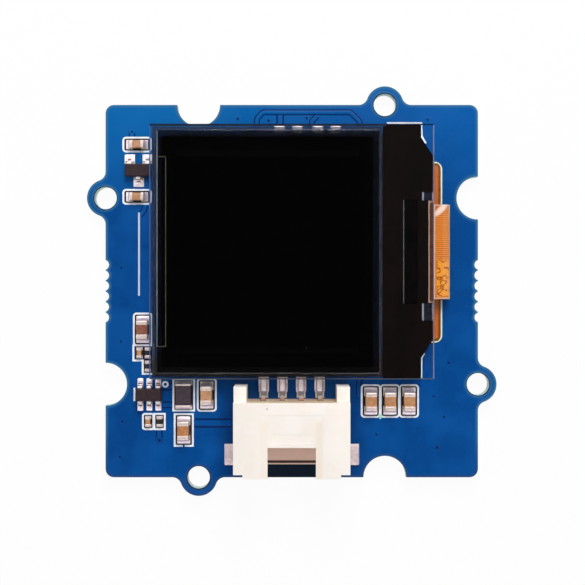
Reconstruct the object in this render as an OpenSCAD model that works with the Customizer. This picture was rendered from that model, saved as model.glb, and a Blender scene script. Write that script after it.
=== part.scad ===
// Small display module: a 40 mm circuit board with four ears, a square emissive
// display glass taped on it, its folded flex circuit, a four-way cable socket and
// the chips round them. Millimetres. The origin is the middle of the board's back
// face, +X is right, +Y is up the board, +Z is out of its front.

/* [Circuit board] */
// Side of the square board
board_w = 40; // [39.5:0.1:44]
// Thickness of the board
board_t = 1.6; // [1:0.1:2.4]
// Radius of the board's corners
corner_r = 0.9; // [0.4:0.1:2]
// Distance of each ear and notch from the middle of its edge
ear_offset = 10; // [9.5:0.1:10.5]
// Outer radius of the ears
ear_r = 2; // [1.8:0.05:2.3]
// Radius of the screw hole in each ear
ear_hole_r = 1.2; // [1:0.05:1.4]
// Fillet between an ear and the edge
ear_fillet_r = 1; // [0.5:0.1:1.5]
// Room round a neighbour's ear in each notch
notch_gap = 0.3; // [0.1:0.05:0.5]
// Radius of the break-off perforations
bite_r = 0.55; // [0.4:0.05:0.6]
// Spacing of the perforations
bite_pitch = 1.13; // [1.1:0.01:1.3]
// Perforations on each side
bite_count = 6; // [4:1:8]
// How far outside the edge the perforations are centred
bite_out = 0.18; // [0.05:0.01:0.3]

/* [Print and lands] */
// Thickness of the printed lines
ink_t = 0.03; // [0.02:0.01:0.05]
// Width of the printed lines
ink_w = 0.2; // [0.12:0.01:0.25]
// Thickness of the copper lands
land_t = 0.04; // [0.03:0.01:0.07]
// How far a land sticks out at the side of what it carries
land_side = 0.08; // [0.02:0.01:0.15]
// How far up a chip's end the solder climbs, as a share of its height
solder_climb = 0.6; // [0.4:0.05:0.8]

/* [Display panel] */
// Width of the front glass
panel_w = 30.1; // [28:0.1:31]
// Height of the front glass
panel_h = 27; // [25:0.1:27.5]
// Thickness of the front glass
glass_t = 0.7; // [0.4:0.05:1.1]
// Thickness of the sealing glass
seal_glass_t = 0.5; // [0.4:0.05:0.7]
// Width of the ledge that carries the driver chip
ledge_w = 5.45; // [5:0.05:6]
// Setback of the sealing glass from the front glass
seal_glass_inset = 0.25; // [0.1:0.05:0.5]
// Width of the adhesive frame between the glasses
seal_w = 1; // [0.6:0.05:1.3]
// Thickness of the adhesive frame
seal_t = 0.05; // [0.03:0.01:0.1]
// Depth of the recess in the sealing glass
recess_d = 0.3; // [0.2:0.01:0.35]
// Thickness of the drying sheet in the recess
desiccant_t = 0.15; // [0.1:0.01:0.18]
// Gap round the drying sheet
desiccant_gap = 1.5; // [0.5:0.1:3]
// Thickness of the emitting film
lit_t = 0.02; // [0.01:0.01:0.03]
// Distance of the lit area from the glue on its left
lit_left = 1.2; // [0.8:0.01:1.6]
// Distance of the lit area from the glue on its right
lit_right = 1.06; // [0.8:0.01:1.8]
// Distance of the lit area from the glue above and below it
lit_end = 2.18; // [1.4:0.01:3]
// Thickness of the polariser
polariser_t = 0.15; // [0.1:0.01:0.25]
// Setback of the polariser from the left edge of the glass
polariser_left = 0.79; // [0.5:0.01:1]
// Setback of the polariser from the top and bottom of the glass
polariser_end = 0.64; // [0.4:0.01:0.9]
// Setback of the polariser from the ledge
polariser_short = 0.3; // [0.1:0.01:0.6]
// Air between the parts under the glass and the glass
under_glass_gap = 0.12; // [0.08:0.01:0.3]
// Setback of the foam tape from the sealing glass
foam_inset = 1.4; // [1:0.1:2.5]
// Depth of foam left out along the top for the parts there
foam_top_gap = 4; // [3.8:0.1:5]

/* [Driver chip, flex and tape] */
// Length of the driver chip
driver_l = 10.96; // [9:0.01:11.5]
// Width of the driver chip
driver_w = 1.5; // [1:0.05:1.8]
// Thickness of the driver chip
driver_t = 0.28; // [0.2:0.01:0.3]
// Distance of the driver chip from the sealing glass
driver_in = 2.2; // [2:0.05:2.3]
// Thickness of the flex circuit
flex_t = 0.12; // [0.08:0.01:0.16]
// Width of the flex where it folds beyond the glass
flex_neck_w = 10.03; // [9:0.01:11]
// Width of the flex where it lies on the board
flex_tail_w = 19.4; // [17:0.1:20]
// How far the fold reaches past the glass
flex_reach = 1.82; // [1.5:0.01:2.1]
// Length of the bond under the glass
flex_bond = 0.55; // [0.4:0.01:0.6]
// Width of the flex where it is bonded under the ledge
flex_bond_w = 10.76; // [10.1:0.01:11.2]
// Length of the flex on the board, measured from the fold
flex_tail_l = 7.2; // [6:0.1:7.6]
// How far the wide part reaches past the start of the fold
flex_shoulder = 0.15; // [0.05:0.01:0.25]
// Slit between the fold and the wide part on each side of it
flex_slit = 0.1; // [0.05:0.01:0.2]
// Radius of the outer corners of the flex
flex_corner_r = 0.8; // [0.4:0.1:1.2]
// Thickness of the black tape
tape_t = 0.36; // [0.34:0.01:0.45]
// Gap between the tape and the chip and flex in its pockets
tape_gap = 0.06; // [0.04:0.01:0.1]
// Setback of the tape from the right edge of the glass
tape_right = 0.1; // [0.05:0.01:0.2]
// How much of the tape is cut away at its two right corners
tape_corner = 1.25; // [1:0.05:1.5]
// Length of the slanted edges at those corners
tape_slant = 1.9; // [1.5:0.1:2.3]
// Height of the cut corner at the top
tape_corner_top = 3.3; // [2.8:0.1:3.6]
// Height of the cut corner at the bottom
tape_corner_bottom = 4.15; // [3.6:0.1:4.4]
// Width of the two windows in the tape beside the bond
window_w = 1.25; // [0.9:0.05:1.4]
// Height of the window above the bond
window_top = 0.9; // [0.5:0.1:1.2]
// Height of the window below the bond
window_bottom = 1.85; // [1:0.05:2]

/* [Cable socket] */
// Height of the socket above the board
socket_h = 5.8; // [5.6:0.1:6.4]
// Length of the socket without its rear horns
socket_l = 7.85; // [7.5:0.05:8.4]
// Setback of the socket's front from the edge of the board
socket_setback = 0.6; // [0.3:0.05:1]
// Spacing of the terminals
pitch = 2; // [1.9:0.01:2.1]
// Distance from an end terminal to the outside of the socket
socket_end = 3.05; // [3:0.01:3.3]
// Thickness of the side walls
socket_wall = 1.05; // [1:0.01:1.15]
// Thickness of the roof
socket_roof = 0.9; // [0.7:0.05:1.1]
// Thickness of the floor
socket_floor = 0.75; // [0.6:0.05:0.9]
// Thickness of the rear wall
socket_back = 1.05; // [0.9:0.05:1.4]
// Length of the rear horns
horn_l = 1.85; // [1.8:0.05:2.1]
// Width of the rear horns
horn_w = 1.35; // [1.1:0.05:1.5]
// Height of the rear horns
horn_h = 4.6; // [3:0.1:5.2]
// Width of the cut-out in the front of the roof
cutout_w = 5; // [4.4:0.1:6]
// Length of the cut-out
cutout_l = 3.22; // [2.6:0.02:3.6]
// Setback of the floor from the front
floor_setback = 0.9; // [0.6:0.05:1.4]
// Width of the lip at the front of the floor
lip_w = 0.3; // [0.2:0.05:0.5]
// Width and depth of the groove behind that lip
groove_w = 0.18; // [0.1:0.02:0.3]
// Width of the sunken panel in the roof
roof_panel_w = 6.3; // [6.2:0.1:7.4]
// Depth of the sunken panel
roof_panel_d = 0.15; // [0.05:0.01:0.3]
// Distance of the sunken panel from the rear wall
roof_panel_back = 1.3; // [1:0.1:2]
// Width of the shallow catch pocket ahead of the cut-out
catch_w = 3.9; // [3:0.1:4.4]
// Length of the catch pocket
catch_l = 0.9; // [0.6:0.05:1.1]
// Depth of the catch pocket below the sunken panel
catch_d = 0.2; // [0.1:0.01:0.3]
// Width of the step at the front outer corners
corner_step_w = 0.97; // [0.6:0.01:1]
// Depth of that step
corner_step_d = 0.42; // [0.2:0.01:0.5]

/* [Terminals and fixing tabs] */
// Width of a terminal
pin_w = 0.55; // [0.45:0.01:0.65]
// Thickness of a terminal
pin_t = 0.4; // [0.3:0.01:0.5]
// Height of a terminal's middle above the board
pin_h = 3.1; // [2.7:0.05:3.3]
// Length of a terminal inside the socket
pin_in = 3.2; // [2.6:0.1:3.4]
// Distance of a terminal's upright from the rear wall
pin_out = 0.3; // [0.2:0.02:0.45]
// Length of a terminal's foot past its upright
foot_l = 1.75; // [1.4:0.05:1.85]
// Gap between a terminal and its hole in the rear wall
pin_gap = 0.03; // [0.02:0.01:0.06]
// Thickness of a fixing tab
tab_t = 0.25; // [0.2:0.01:0.3]
// Width of a fixing tab
tab_w = 2.26; // [1.8:0.02:2.6]
// How far a fixing tab sticks out of the socket
tab_out = 1.08; // [0.8:0.02:1.3]
// Height of a fixing tab's upright in the wall
tab_h = 2.6; // [1.8:0.1:3.2]
// Distance of a fixing tab from the front of the socket
tab_front = 0.75; // [0.6:0.05:1.2]
// Gap between a fixing tab and its slot
tab_gap = 0.04; // [0.02:0.01:0.08]

/* [Large capacitors] */
// Length of a large capacitor
large_l = 2; // [1.8:0.05:2.1]
// Width of a large capacitor
large_w = 1.25; // [1.1:0.05:1.35]
// Height of a large capacitor
large_h = 1.2; // [0.8:0.05:1.35]
// Length of a large capacitor's metal ends
large_end = 0.48; // [0.3:0.02:0.55]
// How far its lands reach past its ends
large_reach = 0.45; // [0.3:0.05:0.55]
// Gap from its ends to the outside of its printed frame
large_frame_end = 0.8; // [0.78:0.01:0.95]
// Gap from its sides to the outside of its printed frame
large_frame_side = 0.45; // [0.4:0.01:0.55]

/* [Small capacitors] */
// Length of a small capacitor
small_l = 1.6; // [1.4:0.05:1.7]
// Width of a small capacitor
small_w = 0.85; // [0.7:0.05:0.95]
// Height of a small capacitor
small_h = 0.8; // [0.5:0.05:0.9]
// Length of a small capacitor's metal ends
small_end = 0.36; // [0.2:0.02:0.45]
// How far its lands reach past its ends
small_reach = 0.38; // [0.25:0.05:0.45]
// Gap from its ends to the outside of its printed frame
small_frame_end = 0.78; // [0.7:0.01:0.9]
// Gap from its sides to the outside of its printed frame
small_frame_side = 0.42; // [0.38:0.01:0.5]

/* [Tiny chips] */
// Length of a tiny chip
tiny_l = 1; // [0.9:0.02:1.05]
// Width of a tiny chip
tiny_w = 0.52; // [0.45:0.01:0.58]
// Height of a tiny capacitor
tiny_h = 0.5; // [0.35:0.05:0.6]
// Height of a resistor
resistor_h = 0.35; // [0.25:0.05:0.5]
// Length of a tiny chip's metal ends
tiny_end = 0.24; // [0.15:0.01:0.3]
// How far its lands reach past its ends
tiny_reach = 0.1; // [0.05:0.01:0.15]
// Gap from its ends to the outside of its printed frame
tiny_frame_end = 0.42; // [0.38:0.01:0.5]
// Gap from its sides to the outside of its printed frame
tiny_frame_side = 0.4; // [0.36:0.01:0.46]

/* [Inductor] */
// Length of the inductor
inductor_l = 2.5; // [2.2:0.05:2.6]
// Width of the inductor
inductor_w = 1.65; // [1.4:0.05:1.8]
// Height of the inductor
inductor_h = 1; // [0.7:0.05:1.3]
// Length of the inductor's metal ends
inductor_end = 0.2; // [0.12:0.01:0.35]
// How far its lands reach past its ends
inductor_reach = 0.22; // [0.15:0.01:0.28]
// Gap from its ends to the outside of its printed frame
inductor_frame_end = 0.53; // [0.5:0.01:0.65]
// Gap from its sides to the outside of its printed frame
inductor_frame_side = 0.39; // [0.35:0.01:0.45]

/* [Moulded chips] */
// Length of a moulded body
mould_l = 2.85; // [2.7:0.05:3]
// Width of a moulded body
mould_w = 1.42; // [1.2:0.02:1.6]
// Height of a moulded body above its lands
mould_h = 1.04; // [0.9:0.02:1.2]
// Gap between a moulded body and its lands
mould_gap = 0.08; // [0.04:0.01:0.12]
// Draft of a moulded body's long sides
mould_draft = 0.12; // [0.05:0.01:0.18]
// Spacing of the leads
lead_pitch = 0.96; // [0.9:0.01:1]
// Width of a lead
lead_w = 0.46; // [0.36:0.01:0.5]
// Thickness of a lead
lead_t = 0.15; // [0.1:0.01:0.2]
// Distance of a lead's upright from the body
lead_out = 0.16; // [0.1:0.01:0.25]
// Distance of a lead's tip from the middle of the chip
lead_tip = 1.48; // [1.4:0.01:1.55]
// How far a lead's land reaches past its tip
lead_reach = 0.26; // [0.1:0.01:0.3]
// Width of a land under a lead of a three-lead chip
wide_land = 1.12; // [0.8:0.02:1.2]

/* [Places on the board] */
// Gap between the socket's horns and the display glass
panel_gap = 0.37; // [0.2:0.01:0.6]
// Distance of the left column's middle from the display glass
column_out = 1.55; // [1.45:0.01:1.7]
// Distance of the first capacitor from the top of the display glass
column_top = 1.94; // [1.6:0.01:2.2]
// Gap between the pieces of the left column
column_gap = 0.22; // [0.1:0.01:0.3]
// Shift of the regulator from the left column's middle
regulator_shift = 0.18; // [0:0.01:0.3]
// Distance of the lowest resistor from the display glass's bottom
cluster_up = 1.27; // [1.1:0.01:1.6]
// Distance of the resistor column from the display glass
cluster_out = 0.39; // [0.3:0.01:0.6]
// Gap between the two resistors of that column
cluster_gap = 0.43; // [0.4:0.01:0.5]
// Distance of the tiny capacitor's column from the resistors
cluster_step = 0.9; // [0.8:0.01:1]
// Shift of the large capacitor from the tiny capacitor
cluster_shift = 0.36; // [0.3:0.01:0.45]
// Gap between the fixing tab and the capacitors left of the socket
left_bank_gap = 0.92; // [0.7:0.01:1.1]
// Gap between the printed frames left of the socket
frame_gap = 0.18; // [0.1:0.01:0.25]
// Distance of the left bank from the display glass's bottom
left_bank_down = 1.82; // [1.8:0.01:2]
// Gap between the inductor's frame and the converter
converter_gap = 1.05; // [0.98:0.01:1.1]
// Distance of the converter from the display glass's bottom
converter_down = 1.76; // [1.75:0.01:1.9]
// Gap between the converter's lands and the tiny chips below it
divider_gap = 0.25; // [0.15:0.01:0.3]
// Gap between the fixing tab and the capacitors right of the socket
right_bank_gap = 0.28; // [0.15:0.01:0.4]
// Distance of the right bank from the display glass's bottom
right_bank_down = 2.47; // [2.4:0.01:2.7]
// Middle of the first transistor, from the middle of the board
transistor_x = -0.35; // [-1:0.01:0]
// Spacing of the two transistors
transistor_pitch = 4.12; // [3.8:0.01:4.4]
// Distance of the transistors from the top of the display glass
transistor_down = 1.72; // [1.5:0.01:1.9]

/* [Hidden] */

$fn = 64;
ways = 4;              // number of terminals, one node each
cut = 1;               // how far a cutting solid runs past the face it cuts
plating_t = 0.04;      // thickness of a chip's metal ends
fillet_dip = 0.03;     // how far an ear's fillets run into what they join
frame_r = 0.4;         // outer radius of a printed frame's corners
tiny_frame_r = 0.3;    // the same round a tiny chip
ring_r = 0.36;         // outer radius of the printed ring beside the converter

half = board_w / 2;
notch_r = ear_r + notch_gap;
top_z = board_t;
land_z = board_t + land_t;

// The socket stands on the front edge, and the panel starts behind its horns.
socket_w = (ways - 1) * pitch + 2 * socket_end;
socket_front = -half + socket_setback;
socket_rear = socket_front + socket_l;
horn_rear = socket_rear + horn_l;
tab_x = socket_w / 2 + tab_out;

// Edges of the display glass, and heights of its layers.
panel_left = -panel_w / 2;
panel_right = panel_w / 2;
panel_bottom = horn_rear + panel_gap;
panel_top = panel_bottom + panel_h;
panel_mid = (panel_top + panel_bottom) / 2;
foam_t = land_t + mould_h + under_glass_gap;
seal_glass_z = top_z + foam_t;
seal_z = seal_glass_z + seal_glass_t;
glass_z = seal_z + seal_t;
polariser_z = glass_z + glass_t;
seal_glass_right = panel_right - ledge_w;
driver_left = seal_glass_right + driver_in;

// Printed frames, each as its outside [width, height] with the chip upright.
large_frame = [large_w + 2 * large_frame_side, large_l + 2 * large_frame_end];
small_frame = [small_w + 2 * small_frame_side, small_l + 2 * small_frame_end];
tiny_frame = [tiny_w + 2 * tiny_frame_side, tiny_l + 2 * tiny_frame_end];
inductor_frame = [inductor_w + 2 * inductor_frame_side, inductor_l + 2 * inductor_frame_end];

// Kinds of chip, as [length, width, height, metal end, reach of its lands].
LARGE = [large_l, large_w, large_h, large_end, large_reach];
SMALL = [small_l, small_w, small_h, small_end, small_reach];
TINY = [tiny_l, tiny_w, tiny_h, tiny_end, tiny_reach];
RESISTOR = [tiny_l, tiny_w, resistor_h, tiny_end, tiny_reach];
COIL = [inductor_l, inductor_w, inductor_h, inductor_end, inductor_reach];

// Left column, from the top of the glass down.
lead_land = lead_tip + lead_reach;
column_x = panel_left - column_out;
first_y = panel_top - column_top;
regulator_y = first_y - small_frame[0] / 2 - column_gap - lead_land;
second_y = regulator_y - lead_land - column_gap - small_frame[0] / 2;
regulator_at = [column_x + regulator_shift, regulator_y];

// Cluster at the bottom left of the glass, from the lowest resistor up.
cluster_x = panel_left - cluster_out;
low_resistor_y = panel_bottom + cluster_up;
high_resistor_y = low_resistor_y + tiny_l + cluster_gap;
cluster_cap_x = cluster_x - cluster_step;
cluster_top = high_resistor_y + tiny_frame[1] / 2;
cluster_large_at = [cluster_cap_x + cluster_shift,
                    cluster_top - ink_w / 2 + large_frame[1] / 2 - ink_w / 2];

// Bank left of the socket, from the fixing tab outwards.
bank_y = panel_bottom - left_bank_down;
bank_cap_x = -tab_x - left_bank_gap - large_frame[0] / 2;
inductor_x = bank_cap_x - large_frame[0] / 2 - frame_gap - inductor_frame[0] / 2;
below_inductor_y = bank_y - inductor_frame[1] / 2 - frame_gap - large_frame[1] / 2;
converter_at = [inductor_x - inductor_frame[0] / 2 - converter_gap - mould_l / 2,
                panel_bottom - converter_down];
divider_y = converter_at[1] - lead_land - divider_gap - tiny_frame[1] / 2;
divider_step = tiny_frame[0] - ink_w / 2;
divider_x = converter_at[0] - tiny_w / 4;

// Bank right of the socket.
right_bank_y = panel_bottom - right_bank_down;
right_bank_x = tab_x + right_bank_gap + large_frame[0] / 2;
right_bank_step = large_frame[0] - ink_w / 2;

// Every two-ended chip as [kind, [x, y], turn], a turn of 0 lying along X.
CAPACITORS = [
    [SMALL, [column_x, first_y], 0],
    [SMALL, [column_x, second_y], 0],
    [LARGE, cluster_large_at, 90],
    [TINY, [cluster_cap_x, high_resistor_y], 90],
    [TINY, [divider_x, divider_y], 90],
    [LARGE, [bank_cap_x, bank_y], 90],
    [LARGE, [inductor_x, below_inductor_y], 90],
    [LARGE, [right_bank_x, right_bank_y], 90],
    [LARGE, [right_bank_x + right_bank_step, right_bank_y], 90],
    [LARGE, [right_bank_x + 2 * right_bank_step, right_bank_y], 90]];
RESISTORS = [
    [RESISTOR, [cluster_x, high_resistor_y], 90],
    [RESISTOR, [cluster_x, low_resistor_y], 90],
    [RESISTOR, [divider_x + divider_step, divider_y], 90]];
INDUCTOR = [COIL, [inductor_x, bank_y], 90];
CHIPS = concat(CAPACITORS, RESISTORS, [INDUCTOR]);

// Moulded chips as [[x, y], leads above, leads below], in steps of the pitch.
transistor_y = panel_top - transistor_down;
TRANSISTORS = [for (i = [0, 1])
    [[transistor_x + i * transistor_pitch, transistor_y], [-1, 1], [0]]];
REGULATOR = [regulator_at, [-1, 1], [0]];
CONVERTER = [converter_at, [-1, 0, 1], [-1, 0, 1]];
MOULDED = concat(TRANSISTORS, [REGULATOR, CONVERTER]);

function pin_x(i) = (i - (ways + 1) / 2) * pitch;

// ---- shared shapes ----

// Block from one corner to the opposite one.
module block(from, to) {
    translate(from) cube(to - from);
}

// Block centred on the Z axis, standing on z0.
module slab(w, h, t, z0) {
    translate([-w / 2, -h / 2, z0]) cube([w, h, t]);
}

// The same with rounded upright edges.
module round_slab(w, h, t, z0, r) {
    slab(w - 2 * r, h, t, z0);
    slab(w, h - 2 * r, t, z0);
    for (x = [-1, 1], y = [-1, 1])
        translate([x * (w / 2 - r), y * (h / 2 - r), z0]) cylinder(r = r, h = t);
}

// Printed frame of the given outside [width, height] and outer corner radius.
module printed_frame(size, r) {
    difference() {
        round_slab(size[0], size[1], ink_t, top_z, r);
        round_slab(size[0] - 2 * ink_w, size[1] - 2 * ink_w, ink_t + 2 * cut, top_z - cut,
                   r - ink_w);
    }
}

// Frame with square corners.
module square_frame(size) {
    difference() {
        slab(size[0], size[1], ink_t, top_z);
        slab(size[0] - 2 * ink_w, size[1] - 2 * ink_w, ink_t + 2 * cut, top_z - cut);
    }
}

module at(place, turn = 0) {
    translate([place[0], place[1], 0]) rotate([0, 0, turn]) children();
}

// Ceramic of a two-ended chip, with necks that fill the two metal ends.
module chip_core(chip) {
    kind = chip[0];
    at(chip[1], chip[2]) {
        slab(kind[0] - 2 * kind[3], kind[1], kind[2], land_z);
        slab(kind[0] - 2 * plating_t, kind[1] - 2 * plating_t, kind[2] - 2 * plating_t,
             land_z + plating_t);
    }
}

// Metal ends of a two-ended chip, wrapped round the necks.
module chip_ends(chip) {
    kind = chip[0];
    at(chip[1], chip[2])
        difference() {
            slab(kind[0], kind[1], kind[2], land_z);
            slab(kind[0] - 2 * kind[3], kind[1] + 2 * cut, kind[2] + 2 * cut, land_z - cut);
            slab(kind[0] - 2 * plating_t, kind[1] - 2 * plating_t,
                 kind[2] - 2 * plating_t, land_z + plating_t);
        }
}

// Land under each end of a two-ended chip.
module chip_lands(chip) {
    kind = chip[0];
    at(chip[1], chip[2])
        for (side = [-1, 1])
            translate([side * (kind[0] / 2 - kind[3] / 2 + kind[4] / 2), 0, 0])
                slab(kind[3] + kind[4], kind[1] + 2 * land_side, land_t, top_z);
}

// Wedge of solder against each end of a two-ended chip.
module chip_solder(chip) {
    kind = chip[0];
    at(chip[1], chip[2])
        for (side = [0, 180])
            rotate([0, 0, side]) translate([kind[0] / 2, kind[1] / 2, land_z])
                rotate([90, 0, 0]) linear_extrude(kind[1])
                    solder_profile(kind[4], kind[2] * solder_climb);
}

// Hollow-fronted wedge, reach long at its foot and climb high at the wall.
module solder_profile(reach, climb) {
    steps = 5;
    polygon(concat([[0, 0]],
        [for (i = [0 : steps]) let (a = 90 * i / steps)
            [reach * (1 - sin(a)), climb * (1 - cos(a))]]));
}

// Moulded body, whose long sides lean in above and below the leads.
module moulded_body(chip) {
    depth = mould_h - mould_gap;
    mid = depth / 2;
    flat = lead_t / 2;
    edge = mould_w / 2;
    waist = edge - mould_draft;
    at(chip[0])
        translate([-mould_l / 2, 0, land_z + mould_gap])
            rotate([90, 0, 90]) linear_extrude(mould_l)
                polygon([[-waist, 0], [waist, 0], [edge, mid - flat], [edge, mid + flat],
                         [waist, depth], [-waist, depth], [-edge, mid + flat],
                         [-edge, mid - flat]]);
}

// One bent lead on the far side of a moulded body, seen from its end.
module lead_profile() {
    edge = mould_w / 2;
    shoulder = mould_gap + (mould_h - mould_gap) / 2;
    flat = lead_t / 2;
    polygon([[edge, shoulder - flat], [edge + lead_out, shoulder - flat],
             [edge + lead_out, 0], [lead_tip, 0], [lead_tip, lead_t],
             [edge + lead_out + lead_t, lead_t], [edge + lead_out + lead_t, shoulder + flat],
             [edge, shoulder + flat]]);
}

// Places each child at every lead, turned so that +Y is outwards.
module each_lead(chip) {
    at(chip[0]) {
        for (i = chip[1]) translate([i * lead_pitch, 0, 0]) children();
        for (i = chip[2]) translate([i * lead_pitch, 0, 0]) rotate([0, 0, 180]) children();
    }
}

module moulded_leads(chip) {
    each_lead(chip)
        translate([-lead_w / 2, 0, land_z])
            rotate([90, 0, 90]) linear_extrude(lead_w) lead_profile();
}

// Width of the solder on a chip's lands. With one lead below instead of three,
// the leads stand further apart and have room for wide lands.
function lead_solder_w(chip) = len(chip[2]) > 1 ? lead_w : wide_land - 2 * land_side;

module lead_lands(chip) {
    inner = mould_w / 2 + lead_out - lead_reach / 2;
    side = lead_solder_w(chip) / 2 + land_side;
    each_lead(chip)
        block([-side, inner, top_z], [side, lead_land, land_z]);
}

module lead_solder(chip) {
    w = lead_solder_w(chip);
    each_lead(chip)
        translate([w / 2, lead_tip, land_z])
            rotate([90, 0, -90]) mirror([1, 0, 0]) linear_extrude(w)
                solder_profile(lead_reach, lead_t);
}

// ---- circuit board ----

// Ear on the +Y edge, with a fillet on each side of it. Each fillet's circle dips
// a little into the edge and into the ear, so that it crosses both cleanly.
module ear() {
    reach = ear_r + ear_fillet_r - fillet_dip;
    rise = ear_fillet_r - fillet_dip;
    spread = sqrt(reach * reach - rise * rise);
    cylinder(r = ear_r, h = board_t);
    difference() {
        translate([-spread, -ear_r / 2, 0])
            cube([2 * spread, ear_r / 2 + rise * ear_r / reach, board_t]);
        for (side = [-1, 1])
            translate([side * spread, rise, -cut])
                cylinder(r = ear_fillet_r, h = board_t + 2 * cut);
    }
}

module each_side() {
    for (i = [0 : 3]) rotate([0, 0, -90 * i]) translate([0, half, 0]) children();
}

module circuit_board() {
    color("royalblue")
        difference() {
            union() {
                round_slab(board_w, board_w, board_t, 0, corner_r);
                each_side() translate([ear_offset, 0, 0]) ear();
            }
            each_side() {
                translate([ear_offset, 0, -cut])
                    cylinder(r = ear_hole_r, h = board_t + 2 * cut);
                translate([-ear_offset, 0, -cut])
                    cylinder(r = notch_r, h = board_t + 2 * cut);
            }
            for (side = [-1, 1], i = [0 : bite_count - 1])
                translate([side * (half + bite_out), (i - (bite_count - 1) / 2) * bite_pitch, -cut])
                    cylinder(r = bite_r, h = board_t + 2 * cut, $fn = 24);
        }
}

// ---- print, lands and solder ----

// Frame round the cluster at the bottom left: two cells that share no line.
module cluster_outline(inset) {
    left = cluster_cap_x - tiny_frame[0] / 2 - ink_w / 2 + inset;
    mid = cluster_x - tiny_frame[0] / 2 + inset;
    right = cluster_x + tiny_frame[0] / 2 - inset;
    top = cluster_top - inset;
    step = high_resistor_y - tiny_frame[1] / 2 + inset;
    bottom = low_resistor_y - tiny_frame[1] / 2 + inset;
    low = top_z - (inset > 0 ? cut : 0);
    high = top_z + ink_t + (inset > 0 ? cut : 0);
    block([left, step, low], [right, top, high]);
    block([mid, bottom, low], [right, top, high]);
}

module silkscreen_print() {
    ring_at = [converter_at[0] + lead_pitch + lead_w / 2 + 2 * land_side + ring_r,
               converter_at[1] + lead_tip - 2 * ink_w, 0];
    line_x = column_x + ink_w;
    line_top = second_y - small_frame[0];
    line_bottom = cluster_large_at[1] + large_frame[1];
    notch_w = ink_w;
    side_x = converter_at[0] - mould_l / 2 - land_side;
    color("white") {
        for (i = [0, 1])
            at(CAPACITORS[i][1], 90) printed_frame(small_frame, frame_r);
        for (i = [2, 5, 7, 8, 9])
            at(CAPACITORS[i][1]) printed_frame(large_frame, frame_r);
        at(CAPACITORS[4][1]) printed_frame(tiny_frame, tiny_frame_r);
        at(RESISTORS[2][1]) square_frame(tiny_frame);
        at(INDUCTOR[1]) square_frame(inductor_frame);
        difference() {
            at(CAPACITORS[6][1]) square_frame(large_frame);
            translate([inductor_x, below_inductor_y - large_frame[1] / 2, 0])
                slab(notch_w, 2 * ink_w + cut, ink_t + 2 * cut, top_z - cut);
        }
        difference() {
            cluster_outline(0);
            cluster_outline(ink_w);
        }
        translate(ring_at) difference() {
            translate([0, 0, top_z]) cylinder(r = ring_r, h = ink_t);
            translate([0, 0, top_z - cut]) cylinder(r = ring_r - ink_w, h = ink_t + 2 * cut);
        }
        block([line_x - ink_w / 2, line_bottom, top_z], [line_x + ink_w / 2, line_top, top_z + ink_t]);
        block([side_x - ink_w, converter_at[1] - mould_w / 2, top_z],
              [side_x, converter_at[1] + mould_w / 2, top_z + ink_t]);
    }
}

module solder_lands() {
    color("gold") {
        for (chip = CHIPS) chip_lands(chip);
        for (chip = MOULDED) lead_lands(chip);
        for (i = [1 : ways]) terminal_land(i);
        for (side = [-1, 1]) tab_land(side);
    }
}

module solder_fillets() {
    color("silver") {
        for (chip = CHIPS) chip_solder(chip);
        for (chip = MOULDED) lead_solder(chip);
    }
}

// ---- display panel ----

module display_glass() {
    color("lightcyan", 0.5)
        block([panel_left, panel_bottom, glass_z], [panel_right, panel_top, polariser_z]);
}

module polariser_film() {
    color("black")
        block([panel_left + polariser_left, panel_bottom + polariser_end, polariser_z],
              [seal_glass_right - polariser_short, panel_top - polariser_end,
               polariser_z + polariser_t]);
}

module emitting_layer() {
    end = seal_glass_inset + seal_w + lit_end;
    color("darkslategray")
        block([panel_left + seal_glass_inset + seal_w + lit_left, panel_bottom + end,
               glass_z - lit_t],
              [seal_glass_right - seal_w - lit_right, panel_top - end, glass_z]);
}

// Outline of the sealing glass, drawn in by inset.
module seal_block(inset, low, high) {
    edge = seal_glass_inset + inset;
    block([panel_left + edge, panel_bottom + edge, low],
          [seal_glass_right - inset, panel_top - edge, high]);
}

module sealing_glass() {
    color("lightcyan", 0.5)
        difference() {
            seal_block(0, seal_glass_z, seal_z);
            seal_block(seal_w, seal_z - recess_d, seal_z + cut);
        }
}

module desiccant_sheet() {
    color("ivory")
        seal_block(seal_w + desiccant_gap, seal_z - recess_d, seal_z - recess_d + desiccant_t);
}

module edge_seal() {
    color("gainsboro")
        difference() {
            seal_block(0, seal_z, glass_z);
            seal_block(seal_w, seal_z - cut, glass_z + cut);
        }
}

module foam_tape() {
    color("dimgray")
        block([panel_left + seal_glass_inset + foam_inset,
               panel_bottom + seal_glass_inset + foam_inset, top_z],
              [seal_glass_right - foam_inset, panel_top - foam_top_gap, seal_glass_z]);
}

// ---- driver chip, flex and tape ----

module driver_chip() {
    color("slategray")
        block([driver_left, panel_mid - driver_l / 2, glass_z - driver_t],
              [driver_left + driver_w, panel_mid + driver_l / 2, glass_z]);
}

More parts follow.
